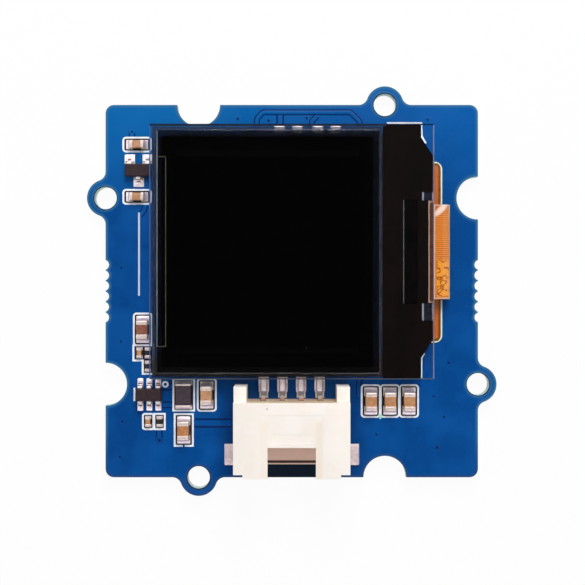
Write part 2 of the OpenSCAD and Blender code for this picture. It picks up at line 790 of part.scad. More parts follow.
// Bond under the ledge, a half-round fold, and a wide tail on the board.
module flex_circuit() {
    fold_r = (glass_z - top_z) / 2;
    fold_x = panel_right + flex_reach - fold_r;
    fold_z = top_z + fold_r;
    neck = flex_neck_w / 2;
    tail_left = fold_x - flex_tail_l;
    tail_right = fold_x + flex_shoulder;
    color("orange") {
        block([panel_right - flex_bond, panel_mid - flex_bond_w / 2, glass_z - flex_t],
              [panel_right, panel_mid + flex_bond_w / 2, glass_z]);
        block([panel_right - flex_bond, panel_mid - neck, glass_z - flex_t],
              [fold_x, panel_mid + neck, glass_z]);
        translate([fold_x, panel_mid + neck, fold_z]) rotate([90, 0, 0])
            difference() {
                cylinder(r = fold_r, h = flex_neck_w);
                translate([0, 0, -cut]) cylinder(r = fold_r - flex_t, h = flex_neck_w + 2 * cut);
                translate([-2 * fold_r, -2 * fold_r, -cut])
                    cube([2 * fold_r, 4 * fold_r, flex_neck_w + 2 * cut]);
            }
        difference() {
            translate([(tail_right + tail_left) / 2, panel_mid, 0])
                round_slab(tail_right - tail_left, flex_tail_w, flex_t, top_z, flex_corner_r);
            block([fold_x, panel_mid - neck - flex_slit, top_z - cut],
                  [tail_right + cut, panel_mid + neck + flex_slit, top_z + flex_t + cut]);
        }
    }
}

// Black tape behind the ledge, with its right corners cut back.
module shading_tape() {
    left = seal_glass_right + tape_gap;
    right = panel_right - tape_right;
    cut_x = right - tape_corner;
    slant_top = panel_top - tape_corner_top;
    slant_bottom = panel_bottom + tape_corner_bottom;
    low = glass_z - tape_t;
    bond_x = panel_right - flex_bond - tape_gap;
    bond_half = flex_bond_w / 2 + tape_gap;
    driver_half = driver_l / 2 + tape_gap;
    open_x = panel_right - window_w;
    color("#181512")
        difference() {
            translate([0, 0, low]) linear_extrude(tape_t)
                polygon([[left, panel_bottom], [cut_x, panel_bottom],
                         [cut_x, slant_bottom - tape_slant], [right, slant_bottom],
                         [right, slant_top], [cut_x, slant_top + tape_slant],
                         [cut_x, panel_top], [left, panel_top]]);
            block([driver_left - tape_gap, panel_mid - driver_half, glass_z - driver_t],
                  [driver_left + driver_w + tape_gap, panel_mid + driver_half, glass_z + cut]);
            block([bond_x, panel_mid - bond_half, low - cut],
                  [panel_right + cut, panel_mid + bond_half, glass_z + cut]);
            block([open_x, panel_mid + bond_half, low - cut],
                  [panel_right + cut, panel_mid + bond_half + window_top, glass_z + cut]);
            block([open_x, panel_mid - bond_half - window_bottom, low - cut],
                  [panel_right + cut, panel_mid - bond_half, glass_z + cut]);
        }
}

// ---- cable socket ----

// Slot in one side wall for a fixing tab's upright and foot.
module tab_slot(side) {
    back = socket_front + tab_front + tab_w + tab_gap;
    front = socket_front + tab_front - tab_gap;
    inner = socket_w / 2 - socket_wall / 2 - tab_t / 2 - tab_gap;
    outer = inner + tab_t + 2 * tab_gap;
    mirror([side > 0 ? 0 : 1, 0, 0]) {
        block([inner, front, top_z - cut], [outer, back, land_z + tab_h + tab_gap]);
        block([inner, front, top_z - cut],
              [socket_w / 2 + cut, back, land_z + tab_t + tab_gap]);
    }
}

module connector_housing() {
    side = socket_w / 2;
    roof_z = top_z + socket_h;
    cavity_rear = socket_rear - socket_back;
    panel_front = socket_front - cut;
    floor_front = socket_front + floor_setback;
    color("ivory")
        difference() {
            union() {
                block([-side, socket_front, top_z], [side, socket_rear, roof_z]);
                for (x = [-side, side - horn_w])
                    block([x, socket_rear - cut, top_z], [x + horn_w, horn_rear, top_z + horn_h]);
            }
            // mouth and cavity
            block([-side + socket_wall, socket_front - cut, top_z + socket_floor],
                  [side - socket_wall, cavity_rear, roof_z - socket_roof]);
            // floor stops short of the mouth, with a groove behind its lip
            block([-side + socket_wall, socket_front - cut, top_z - cut],
                  [side - socket_wall, floor_front, roof_z - socket_roof]);
            block([-side + socket_wall, floor_front + lip_w, top_z + socket_floor - groove_w],
                  [side - socket_wall, floor_front + lip_w + groove_w, top_z + socket_floor + cut]);
            // cut-out, sunken panel and catch pocket in the roof
            block([-cutout_w / 2, socket_front - cut, roof_z - socket_roof - cut],
                  [cutout_w / 2, socket_front + cutout_l, roof_z + cut]);
            block([-roof_panel_w / 2, panel_front, roof_z - roof_panel_d],
                  [roof_panel_w / 2, socket_rear - roof_panel_back, roof_z + cut]);
            block([-catch_w / 2, socket_front + cutout_l + catch_l / 2,
                   roof_z - roof_panel_d - catch_d],
                  [catch_w / 2, socket_front + cutout_l + 3 * catch_l / 2, roof_z + cut]);
            // stepped front corners
            for (x = [-side - cut, side - corner_step_w])
                block([x, socket_front - cut, top_z - cut],
                      [x + corner_step_w + cut, socket_front + corner_step_d, roof_z + cut]);
            // holes for the terminals
            for (i = [1 : ways])
                translate([pin_x(i), 0, 0])
                    block([-pin_w / 2 - pin_gap, cavity_rear - cut, top_z + pin_h - pin_t / 2 - pin_gap],
                          [pin_w / 2 + pin_gap, socket_rear + cut, top_z + pin_h + pin_t / 2 + pin_gap]);
            for (s = [-1, 1]) tab_slot(s);
        }
}

// ---- terminals and fixing tabs ----

// Square-nosed pin that leaves the rear wall, drops to the board and turns out.
module terminal(i) {
    tip = socket_rear - socket_back - pin_in;
    upright = socket_rear + pin_out;
    low = land_z;
    high = top_z + pin_h + pin_t / 2;
    bend = pin_t;
    color("silver")
        translate([pin_x(i) - pin_w / 2, 0, 0]) rotate([90, 0, 90]) linear_extrude(pin_w)
            union() {
                translate([tip, high - pin_t]) square([upright - tip, pin_t]);
                translate([upright, high - pin_t]) intersection() {
                    circle(r = bend);
                    square([bend, bend]);
                }
                translate([upright, low + pin_t]) square([pin_t, high - low - 2 * pin_t]);
                translate([upright, low]) square([pin_t + foot_l, pin_t]);
            }
}

module terminal_1() terminal(1);
module terminal_2() terminal(2);
module terminal_3() terminal(3);
module terminal_4() terminal(4);

module terminal_land(i) {
    upright = socket_rear + pin_out;
    translate([pin_x(i), 0, 0])
        block([-pin_w / 2 - 2 * land_side - pin_gap, upright - pin_t / 2, top_z],
              [pin_w / 2 + 2 * land_side + pin_gap, upright + pin_t + foot_l + land_side, land_z]);
}

// Upright in the side wall, with a foot that reaches out onto the board.
module fixing_tab(side) {
    front = socket_front + tab_front;
    inner = socket_w / 2 - socket_wall / 2 - tab_t / 2;
    color("silver")
        mirror([side > 0 ? 0 : 1, 0, 0]) {
            block([inner, front, land_z], [inner + tab_t, front + tab_w, land_z + tab_h]);
            block([inner, front, land_z], [tab_x, front + tab_w, land_z + tab_t]);
        }
}

module fixing_tab_left() fixing_tab(-1);
module fixing_tab_right() fixing_tab(1);

module tab_land(side) {
    front = socket_front + tab_front;
    mirror([side > 0 ? 0 : 1, 0, 0])
        block([socket_w / 2 - socket_wall / 2 - tab_t / 2, front, top_z],
              [tab_x + land_side, front + tab_w, land_z]);
}

// ---- moulded chips ----

module regulator_body() color("#3a3036") moulded_body(REGULATOR);
module regulator_leads() color("silver") moulded_leads(REGULATOR);
module converter_body() color("#2a2626") moulded_body(CONVERTER);
module converter_leads() color("silver") moulded_leads(CONVERTER);
module transistor_1_body() color("#2a2626") moulded_body(TRANSISTORS[0]);
module transistor_1_leads() color("silver") moulded_leads(TRANSISTORS[0]);
module transistor_2_body() color("#2a2626") moulded_body(TRANSISTORS[1]);
module transistor_2_leads() color("silver") moulded_leads(TRANSISTORS[1]);

// ---- capacitors, resistors and the inductor ----

module capacitor(i) color("peru") chip_core(CAPACITORS[i - 1]);
module capacitor_ends(i) color("silver") chip_ends(CAPACITORS[i - 1]);
module resistor(i) color("black") chip_core(RESISTORS[i - 1]);
module resistor_ends(i) color("silver") chip_ends(RESISTORS[i - 1]);
module inductor() color("#453f48") chip_core(INDUCTOR);
module inductor_ends() color("silver") chip_ends(INDUCTOR);

// ---- nodes ----

circuit_board();
silkscreen_print();
solder_lands();
solder_fillets();
display_glass();
polariser_film();
emitting_layer();
desiccant_sheet();
sealing_glass();
edge_seal();
driver_chip();
flex_circuit();
shading_tape();
foam_tape();
connector_housing();
terminal_1();
terminal_2();
terminal_3();
terminal_4();
fixing_tab_left();
fixing_tab_right();
regulator_body();
regulator_leads();
converter_body();
converter_leads();
transistor_1_body();
transistor_1_leads();
transistor_2_body();
transistor_2_leads();
capacitor(1);  // capacitor_1
capacitor_ends(1);  // capacitor_1_ends
capacitor(2);  // capacitor_2
capacitor_ends(2);  // capacitor_2_ends
capacitor(3);  // capacitor_3
capacitor_ends(3);  // capacitor_3_ends
capacitor(4);  // capacitor_4
capacitor_ends(4);  // capacitor_4_ends
capacitor(5);  // capacitor_5
capacitor_ends(5);  // capacitor_5_ends
capacitor(6);  // capacitor_6
capacitor_ends(6);  // capacitor_6_ends
capacitor(7);  // capacitor_7
capacitor_ends(7);  // capacitor_7_ends
capacitor(8);  // capacitor_8
capacitor_ends(8);  // capacitor_8_ends
capacitor(9);  // capacitor_9
capacitor_ends(9);  // capacitor_9_ends
capacitor(10);  // capacitor_10
capacitor_ends(10);  // capacitor_10_ends
resistor(1);  // resistor_1
resistor_ends(1);  // resistor_1_ends
resistor(2);  // resistor_2
resistor_ends(2);  // resistor_2_ends
resistor(3);  // resistor_3
resistor_ends(3);  // resistor_3_ends
inductor();
inductor_ends();
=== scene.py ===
import bpy
import bmesh
import numpy as np
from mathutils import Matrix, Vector, geometry


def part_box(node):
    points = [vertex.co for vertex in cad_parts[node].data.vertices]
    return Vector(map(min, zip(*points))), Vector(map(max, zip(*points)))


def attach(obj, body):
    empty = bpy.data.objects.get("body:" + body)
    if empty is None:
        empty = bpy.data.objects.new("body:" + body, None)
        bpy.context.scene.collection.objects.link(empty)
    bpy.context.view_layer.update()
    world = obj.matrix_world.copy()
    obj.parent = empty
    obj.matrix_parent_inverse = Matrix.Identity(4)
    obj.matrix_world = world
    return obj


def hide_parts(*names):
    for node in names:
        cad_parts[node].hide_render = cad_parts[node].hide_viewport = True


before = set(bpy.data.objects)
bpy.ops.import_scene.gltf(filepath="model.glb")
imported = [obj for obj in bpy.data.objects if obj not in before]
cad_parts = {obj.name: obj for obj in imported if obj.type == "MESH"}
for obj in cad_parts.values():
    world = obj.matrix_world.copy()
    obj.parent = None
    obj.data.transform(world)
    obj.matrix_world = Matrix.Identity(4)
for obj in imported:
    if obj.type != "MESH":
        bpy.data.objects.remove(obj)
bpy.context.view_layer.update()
mm = 0.001          # shapes are worked out in millimetres and put into the mesh in metres
pi = np.pi
print("frame loaded, nodes:", len(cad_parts))


def nodeBox(name):
    low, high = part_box(name)
    return np.array(low) / mm, np.array(high) / mm


# shapes: each mesh is (points in mm, faces)
def gridFaces(rows, columns, ring=False):
    # quads between neighbouring rows; a ring joins its last column to its first
    r, c = np.meshgrid(np.arange(rows - 1), np.arange(columns if ring else columns - 1), indexing="ij")
    a, b = r * columns + c, r * columns + (c + 1) % columns
    return np.stack([a, b, b + columns, a + columns], -1).reshape(-1, 4)


def loft(rings):
    # rings of equal length joined one to the next, closed by a flat face at each end
    rows, columns = rings.shape[:2]
    faces = gridFaces(rows, columns, ring=True).tolist()
    faces += [list(range(columns))[::-1], list(range((rows - 1) * columns, rows * columns))]
    return rings.reshape(-1, 3), faces


def thickSheet(upper, lower):
    # two grids of the same size joined round their rim
    rows, columns = upper.shape[:2]
    count = rows * columns
    index = np.arange(count).reshape(rows, columns)
    rim = np.concatenate([index[0, :-1], index[:-1, -1], index[-1, :0:-1], index[:0:-1, 0]])
    after = np.roll(rim, -1)
    face = gridFaces(rows, columns)
    wall = np.stack([after, rim, rim + count, after + count], -1)
    faces = np.concatenate([face, face[:, ::-1] + count, wall])
    return np.concatenate([upper.reshape(-1, 3), lower.reshape(-1, 3)]), faces.tolist()


def join(meshes):
    points, faces, start = [], [], 0
    for p, f in meshes:
        points.append(p)
        faces += [[k + start for k in face] for face in f]
        start += len(p)
    return np.concatenate(points), faces


def place(mesh, x=0.0, y=0.0, z=0.0, turn=0.0):
    # turned about Z by so many degrees, then shifted
    a = np.radians(turn)
    spin = np.array([[np.cos(a), np.sin(a), 0], [-np.sin(a), np.cos(a), 0], [0, 0, 1]])
    return mesh[0] @ spin + np.array([x, y, z]), mesh[1]


def alongX(mesh):
    # a mesh that stands on Z laid over, so that its Z points along X
    return mesh[0][:, [2, 0, 1]], mesh[1]


def arc(x, y, r, start, end, steps):
    a = np.radians(np.linspace(start, end, steps + 1))
    return np.stack([x + r * np.cos(a), y + r * np.sin(a)], -1)


def roundRect(halfX, halfY, r, steps=4):
    # each corner is a quarter turn of radius r round its own centre
    corners = [(1, 1, 0), (-1, 1, 90), (-1, -1, 180), (1, -1, 270)]
    return np.concatenate([arc(sx * (halfX - r), sy * (halfY - r), r, a, a + 90, steps)
                           for sx, sy, a in corners])


def stack(halfX, halfY, r, profile, steps=4):
    # rounded rectangles, one for each (inset, height) of the profile
    sharpest = 0.008
    return loft(np.array([np.c_[roundRect(halfX - i, halfY - i, max(r - i, sharpest), steps),
                                np.full(4 * (steps + 1), h)] for i, h in profile]))


def edgeProfile(low, high, edge, steps=3):
    # (inset, height) up the side of a plate whose rims are quarter circles
    a = np.linspace(0, pi / 2, steps + 1)
    inset = edge * (1 - np.sin(a))
    rise = edge * (1 - np.cos(a))
    return np.concatenate([np.stack([inset, low + rise], -1), np.stack([inset, high - rise], -1)[::-1]])


def plate(low, high, r, edge, steps=3):
    # plate that fills a box, with rounded corners and rims
    low, high = np.array(low, float), np.array(high, float)
    half, middle = (high - low) / 2, (high + low) / 2
    return place(stack(half[0], half[1], r, edgeProfile(low[2], high[2], edge, steps), 5),
                 middle[0], middle[1])


def sheet(outline, low, high):
    # flat sheet with any outline
    outline = np.array(outline, float)
    return loft(np.stack([np.c_[outline, np.full(len(outline), z)] for z in (low, high)]))


def bentPath(corners, radius, steps=6):
    # corner points of a strip joined by arcs: the arc at a corner runs from one
    # side to the other on a curve through the corner's two tangent points
    corners = np.array(corners, float)
    path = [corners[:1]]
    for before, here, after, r in zip(corners[:-2], corners[1:-1], corners[2:], radius):
        a, b = before - here, after - here
        a, b = a / np.linalg.norm(a), b / np.linalg.norm(b)
        half = np.arccos(np.clip(a @ b, -1, 1)) / 2
        middle = here + (a + b) / np.linalg.norm(a + b) * r / np.sin(half)
        first, last = here + a * r / np.tan(half), here + b * r / np.tan(half)
        t = np.linspace(0, 1, steps + 1)[:, None]
        spoke = (first - middle) * (1 - t) + (last - middle) * t
        path.append(middle + r * spoke / np.linalg.norm(spoke, axis=1, keepdims=True))
    path.append(corners[-1:])
    return np.concatenate(path)


def pathNormals(path):
    ahead = np.gradient(path, axis=0)
    ahead /= np.linalg.norm(ahead, axis=1, keepdims=True)
    return np.stack([-ahead[:, 1], ahead[:, 0]], -1)


def pathLengths(path):
    # the way along a path to each of its points
    return np.r_[0, np.cumsum(np.linalg.norm(np.diff(path, axis=0), axis=1))]


def bentStrip(path, width, thick, edge, steps=2):
    # a flat strip carried along a path of (outwards, up) points: its section is a
    # rounded rectangle, wide across X and thick along the path's normal
    section = roundRect(width / 2, thick / 2, edge, steps)
    normal = pathNormals(path)
    out = path[:, None, :] + normal[:, None, :] * section[None, :, 1:2]
    side = np.broadcast_to(section[None, :, 0], out.shape[:2])
    return loft(np.stack([side, out[..., 0], out[..., 1]], -1))


# pieces: each rides on the part and stands for the CAD nodes that it is given
def settle(name, data, stands):
    piece = bpy.data.objects.new(name, data)
    bpy.context.scene.collection.objects.link(piece)
    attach(piece, "root")
    if stands:
        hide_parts(*stands)
    return piece


def makePiece(name, mesh, finishes, stands=(), uv=None, faceFinish=None, rim=None, angle=40):
    points, faces = mesh
    data = bpy.data.meshes.new(name)
    data.from_pydata((points * mm).tolist(), [], faces)
    for key in finishes:
        data.materials.append(materials[key])
    if faceFinish is not None:
        data.polygons.foreach_set("material_index", np.asarray(faceFinish, np.int32))
    if uv is not None:
        corner = np.empty(len(data.loops), np.int32)
        data.loops.foreach_get("vertex_index", corner)
        data.uv_layers.new(name="UVMap").data.foreach_set("uv", uv[corner].astype(np.float32).ravel())
    if rim is not None:
        data.attributes.new("rim", "FLOAT", "POINT").data.foreach_set("value", rim.astype(np.float32))
    work = bmesh.new()
    work.from_mesh(data)
    bmesh.ops.recalc_face_normals(work, faces=work.faces)
    work.to_mesh(data)
    work.free()
    data.shade_smooth()
    data.set_sharp_from_angle(angle=np.radians(angle))
    # the flat end faces stay flat, so that nothing is reflected as if they bulged
    sides = np.empty(len(data.polygons), np.int32)
    data.polygons.foreach_get("loop_total", sides)
    data.polygons.foreach_set("use_smooth", sides <= 4)
    return settle(name, data, stands)


def bevelledCopy(name, node, key, bevel, reshape, segments=3):
    # a CAD node's mesh with its doubles merged, flat triangles dissolved, its points
    # passed through reshape, and its edges rounded
    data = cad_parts[node].data.copy()
    data.name = name
    data.materials.clear()
    data.materials.append(materials[key])
    work = bmesh.new()
    work.from_mesh(data)
    bmesh.ops.remove_doubles(work, verts=work.verts, dist=1e-7)
    bmesh.ops.dissolve_limit(work, angle_limit=0.01, verts=work.verts, edges=work.edges)
    for layer in list(work.loops.layers.uv):
        work.loops.layers.uv.remove(layer)
    work.to_mesh(data)
    work.free()
    spots = np.empty(3 * len(data.vertices))
    data.vertices.foreach_get("co", spots)
    spots = spots.reshape(-1, 3) / mm
    data.vertices.foreach_set("co", (reshape(spots) * mm).ravel())
    data.shade_smooth()
    piece = settle(name, data, [node])
    rounding = piece.modifiers.new("rounding", "BEVEL")
    rounding.width = bevel * mm
    rounding.segments = segments
    rounding.limit_method = "ANGLE"
    rounding.harden_normals = True
    return piece


# nodes of a material: a value is a number or the socket that gives it, and a colour is a
# socket, three display values from 0 to 255, or the four linear ones that shaders take
def colour(red, paintedTopLight, blue):
    c = np.array([red, paintedTopLight, blue]) / 255
    linear = np.where(c <= 0.04045, c / 12.92, ((c + 0.055) / 1.055) ** 2.4)
    return (*linear.tolist(), 1)


def put(tree, kind, inputs={}, **settings):
    node = tree.nodes.new("ShaderNode" + kind)
    for key, value in settings.items():
        setattr(node, key, value)
    for key, value in inputs.items():
        if isinstance(value, bpy.types.NodeSocket):
            tree.links.new(value, node.inputs[key])
        else:
            node.inputs[key].default_value = value
    return node


def maths(tree, operation, a, b=0.0, clamp=False):
    return put(tree, "Math", {0: a, 1: b}, operation=operation, use_clamp=clamp).outputs[0]


def times(tree, first, *others):
    for other in others:
        first = maths(tree, "MULTIPLY", first, other)
    return first


def away(tree, value, middle=0.0):
    # how far a value lies from the middle, either way
    return maths(tree, "ABSOLUTE", maths(tree, "SUBTRACT", value, middle))


def fade(tree, value, low, high, first=0.0, last=1.0):
    # value from low to high becomes first to last, smoothly
    return put(tree, "MapRange", {"Value": value, "From Min": low, "From Max": high, "To Min": first,
                                  "To Max": last}, interpolation_type="SMOOTHSTEP").outputs["Result"]


def within(tree, *limits):
    # product of fades: 1 only where every value is past its own limits
    return times(tree, *[fade(tree, *limit) for limit in limits])


def blend(tree, share, a, b):
    a, b = [c if isinstance(c, bpy.types.NodeSocket) or len(c) == 4 else colour(*c) for c in (a, b)]
    return put(tree, "Mix", {0: share, 6: a, 7: b}, data_type="RGBA").outputs[2]


def paint(tree, base, *layers):
    # each layer is (share, colour) and covers the ones before it by its share
    for share, tone in layers:
        base = blend(tree, share, base, tone)
    return base


def placeOn(tree):
    # the place on the part in mm, whole and as its three parts
    where = put(tree, "VectorMath", {0: put(tree, "TexCoord").outputs["Object"], "Scale": 1 / mm},
                operation="SCALE").outputs["Vector"]
    return where, *put(tree, "SeparateXYZ", {"Vector": where}).outputs


def uvOf(tree):
    return put(tree, "SeparateXYZ", {"Vector": put(tree, "TexCoord").outputs["UV"]}).outputs[:2]


def rimOf(tree):
    # distance to the nearest cut edge, in mm
    return put(tree, "Attribute", attribute_name="rim", attribute_type="GEOMETRY").outputs["Fac"]


def newGroup(name, inputs, outputs):
    # an empty node group with the named sockets
    tree = bpy.data.node_groups.new(name, "ShaderNodeTree")
    for key, (kind, value) in inputs.items():
        socket = tree.interface.new_socket(name=key, in_out="INPUT", socket_type="NodeSocket" + kind)
        socket.default_value = value
    for key, kind in outputs.items():
        tree.interface.new_socket(name=key, in_out="OUTPUT", socket_type="NodeSocket" + kind)
    return tree, tree.nodes.new("NodeGroupInput").outputs, tree.nodes.new("NodeGroupOutput").inputs


def buildLiveSurface():
    # patches between two colours, uneven gloss and a fine grain, with sizes in mm
    tree, given, out = newGroup("liveSurface", {
        "First": ("Color", (0.5, 0.5, 0.5, 1)), "Second": ("Color", (0.5, 0.5, 0.5, 1)),
        "Patch": ("Float", 2.0), "Roughness": ("Float", 0.4), "Spread": ("Float", 0.1),
        "Grain": ("Float", 0.1), "Depth": ("Float", 0.002)},
        {"Color": "Color", "Roughness": "Float", "Normal": "Vector"})
    where = put(tree, "TexCoord").outputs["Object"]
    noises = []
    for size, detail in (("Patch", 3.0), ("Grain", 2.0)):
        scale = maths(tree, "DIVIDE", 1 / mm, given[size])
        noise = put(tree, "TexNoise", {"Vector": where, "Scale": scale, "Detail": detail})
        noises.append(noise.outputs["Fac"])
    patches = fade(tree, noises[0], 0.36, 0.64)
    uneven = maths(tree, "ADD", times(tree, patches, 0.7), times(tree, noises[1], 0.6))
    gloss = times(tree, maths(tree, "SUBTRACT", uneven, 0.65), given["Spread"])
    deep = times(tree, given["Depth"], mm)
    bump = put(tree, "Bump", {"Height": noises[1], "Distance": deep, "Strength": 1.0})
    tree.links.new(blend(tree, patches, given["First"], given["Second"]), out["Color"])
    tree.links.new(maths(tree, "ADD", given["Roughness"], gloss, clamp=True), out["Roughness"])
    tree.links.new(bump.outputs["Normal"], out["Normal"])
    return tree


liveSurface = buildLiveSurface()
materials = {}


def feed(mat, value, key="Base Color"):
    mat.node_tree.links.new(value, mat.node_tree.nodes["Principled BSDF"].inputs[key])


def finish(name, first, second, patch, roughness, spread, grain, depth, plain):
    # a Principled material fed by liveSurface; plain holds its even values
    mat = bpy.data.materials.new(name)
    mat.use_nodes = True
    tree = mat.node_tree
    live = put(tree, "Group", {"First": colour(*first), "Second": colour(*second), "Patch": patch,
                               "Roughness": roughness, "Spread": spread, "Grain": grain,
                               "Depth": depth}, node_tree=liveSurface).outputs
    feed(mat, live["Color"])
    feed(mat, live["Roughness"], "Roughness")
    feed(mat, live["Normal"], "Normal")
    for key, value in plain.items():
        tree.nodes["Principled BSDF"].inputs[key].default_value = value
    materials[name] = mat
    return mat, tree, live["Color"]


# blue solder mask, what shows through it, and painted light and shade on it; each place is where a tone
# starts and where it is full, in mm
maskTones = {"deepBlue": (0, 68, 136), "blue": (1, 78, 150), "litTopLeft": (0, 100, 170),
             "litTopRight": (0, 85, 158), "paintedShade": (4, 34, 76), "rim": (52, 108, 148),
             "lowerRimShade": (38, 70, 120), "mouth": (18, 34, 52), "gap": (1, 34, 88),
             "hole": (4, 28, 84), "holeRing": (2, 40, 100)}
maskPlaces = {"paintedTopLight": (6, 21), "paintedTopLightAcross": (-16, 8), "upperFace": (0.8, 1.5), "mouthHalf": (3.0, 2.6),
              "mouthBack": (-17.0, -17.3), "socketShadeHalf": (8.8, 6.2), "belowGlass": (-9.6, -11.0),
              "leftShade": (-13.0, -19.0), "lowerRimShade": (-14.0, -19.0), "rim": (0.42, 0.02)}


def maskFinish(name):
    # glossy blue mask, with painted light that makes it paler and greener towards the top edge of the board
    t, at = maskTones, maskPlaces
    mat, tree, live = finish(name, t["deepBlue"], t["blue"], 4, 0.3, 0.1, 0.12, 0.0012,
                             {"Specular IOR Level": 0.12, "Coat Weight": 0.06, "Coat Roughness": 0.12})
    x, y = placeOn(tree)[1:3]
    # painted light: paler and greener towards the top edge
    paintedTopLight = blend(tree, fade(tree, x, *at["paintedTopLightAcross"]), t["litTopLeft"], t["litTopRight"])
    return mat, tree, blend(tree, fade(tree, y, *at["paintedTopLight"]), live, paintedTopLight)


def maskMaterial():
    # paler and greyer where it thins towards an edge, with painted shade that darkens that edge along the
    # bottom; painted shade beside the socket and towards the left edge, and dull dark painted shade in the
    # mouth of the socket; the underside is plain
    t, at = maskTones, maskPlaces
    mat, tree, blue = maskFinish("maskBlue")
    x, y, z = placeOn(tree)[1:]
    wide = away(tree, x)
    upper = fade(tree, z, *at["upperFace"])
    # painted shade on the board in the mouth of the socket, under the housing
    mouth = times(tree, within(tree, (wide, *at["mouthHalf"]), (y, *at["mouthBack"])), upper)
    # painted shade beside the socket below the glass, and towards the left edge
    socketShade = within(tree, (wide, *at["socketShadeHalf"]), (y, *at["belowGlass"], 0.0, 0.5))
    paintedShade = maths(tree, "MAXIMUM", socketShade, fade(tree, x, *at["leftShade"], 0.0, 0.12))
    body = blend(tree, times(tree, paintedShade, upper), blue, t["paintedShade"])
    # painted shade: the thinned edge darkens towards the bottom
    edge = blend(tree, fade(tree, y, *at["lowerRimShade"]), t["rim"], t["lowerRimShade"])
    thinned = fade(tree, rimOf(tree), *at["rim"])
    feed(mat, paint(tree, body, (thinned, edge), (mouth, t["mouth"])))


def laminateMaterial():
    # cut laminate: pale resin with darker glass layers across its thickness
    mat, tree, live = finish("laminateEdge", (206, 220, 214), (188, 206, 204), 0.5, 0.7, 0.1, 0.05, 0.006, {})
    layers, thick = 7, 1.6
    waves = maths(tree, "SINE", times(tree, placeOn(tree)[3], 2 * pi * layers / thick))
    feed(mat, blend(tree, fade(tree, waves, -0.3, 0.9, 0.0, 0.4), live, (128, 152, 160)))


def trackMaterial():
    # across a track: dark gap, raised copper under the mask, dark gap; each gap is darkest
    # in its middle, and like the rest of the mask at the outside
    mat, tree, blue = maskFinish("maskedTrack")
    off = away(tree, uvOf(tree)[0], 0.5)
    gap = within(tree, (off, 0.22, 0.32), (off, 0.5, 0.44))
    feed(mat, blend(tree, gap, blue, maskTones["gap"]))


def viaMaterial():
    # tented hole: dark in the middle, and a dark gap round a large one
    mat, tree, blue = maskFinish("tentedHole")
    out, large = uvOf(tree)
    dotted = blend(tree, fade(tree, out, 0.2, 0.7), maskTones["hole"], blue)
    ring = times(tree, fade(tree, out, 0.7, 0.95, 0.0, 0.9), large)
    feed(mat, blend(tree, ring, dotted, maskTones["holeRing"]))


def inkMaterial():
    # white print, thin enough on the long line at the left for the mask to show through
    mat, tree, live = finish("whiteInk", (238, 244, 250), (220, 229, 240), 0.8, 0.55, 0.1, 0.05, 0.003, {})
    x, y = placeOn(tree)[1:3]
    thin = within(tree, (away(tree, x, -16.4), 0.35, 0.3), (away(tree, y, 4.0), 5.5, 5.2))
    feed(mat, blend(tree, thin, live, (184, 198, 212)))


# amber film over copper, with painted light; places are pairs as above, in mm across, along or in from the
# rim, but pitch is that of the copper lines, and bloom and paintedGlareHalf are the middle and half sizes of
# a painted glare
flexTones = {"copper": (170, 86, 16), "line": (238, 142, 44), "gold": (240, 158, 44),
             "blotch": (150, 70, 6), "bonded": (112, 62, 42), "pinkEndAndGlint": (238, 204, 194),
             "paintedGlare": (246, 222, 208), "fold": (250, 216, 140), "tail": (200, 98, 38),
             "seam": (100, 66, 0), "rim": (238, 240, 216)}
flexPlaces = {"pitch": 0.215, "copperLeft": (-1.6, 0.2), "copperRight": (4.6, 3.9), "goldRight": (-0.2, -1.4),
              "goldLeft": (-5.0, -4.6), "goldStart": (0.75, 0.95), "bond": (0.5, 0.46),
              "bondEnd": (0.12, 0.06), "glassEdgeGlint": ((0.5, 0.56), (0.74, 0.66)), "paintedGlare": (4.45, 1.3),
              "paintedGlareHalf": (0.45, 0.75), "foldStart": (2.2, 2.45), "foldEnd": (4.2, 4.0),
              "tail": (4.2, 4.5), "seam": (0.5, 0.36), "rim": (0.18, 0.13)}


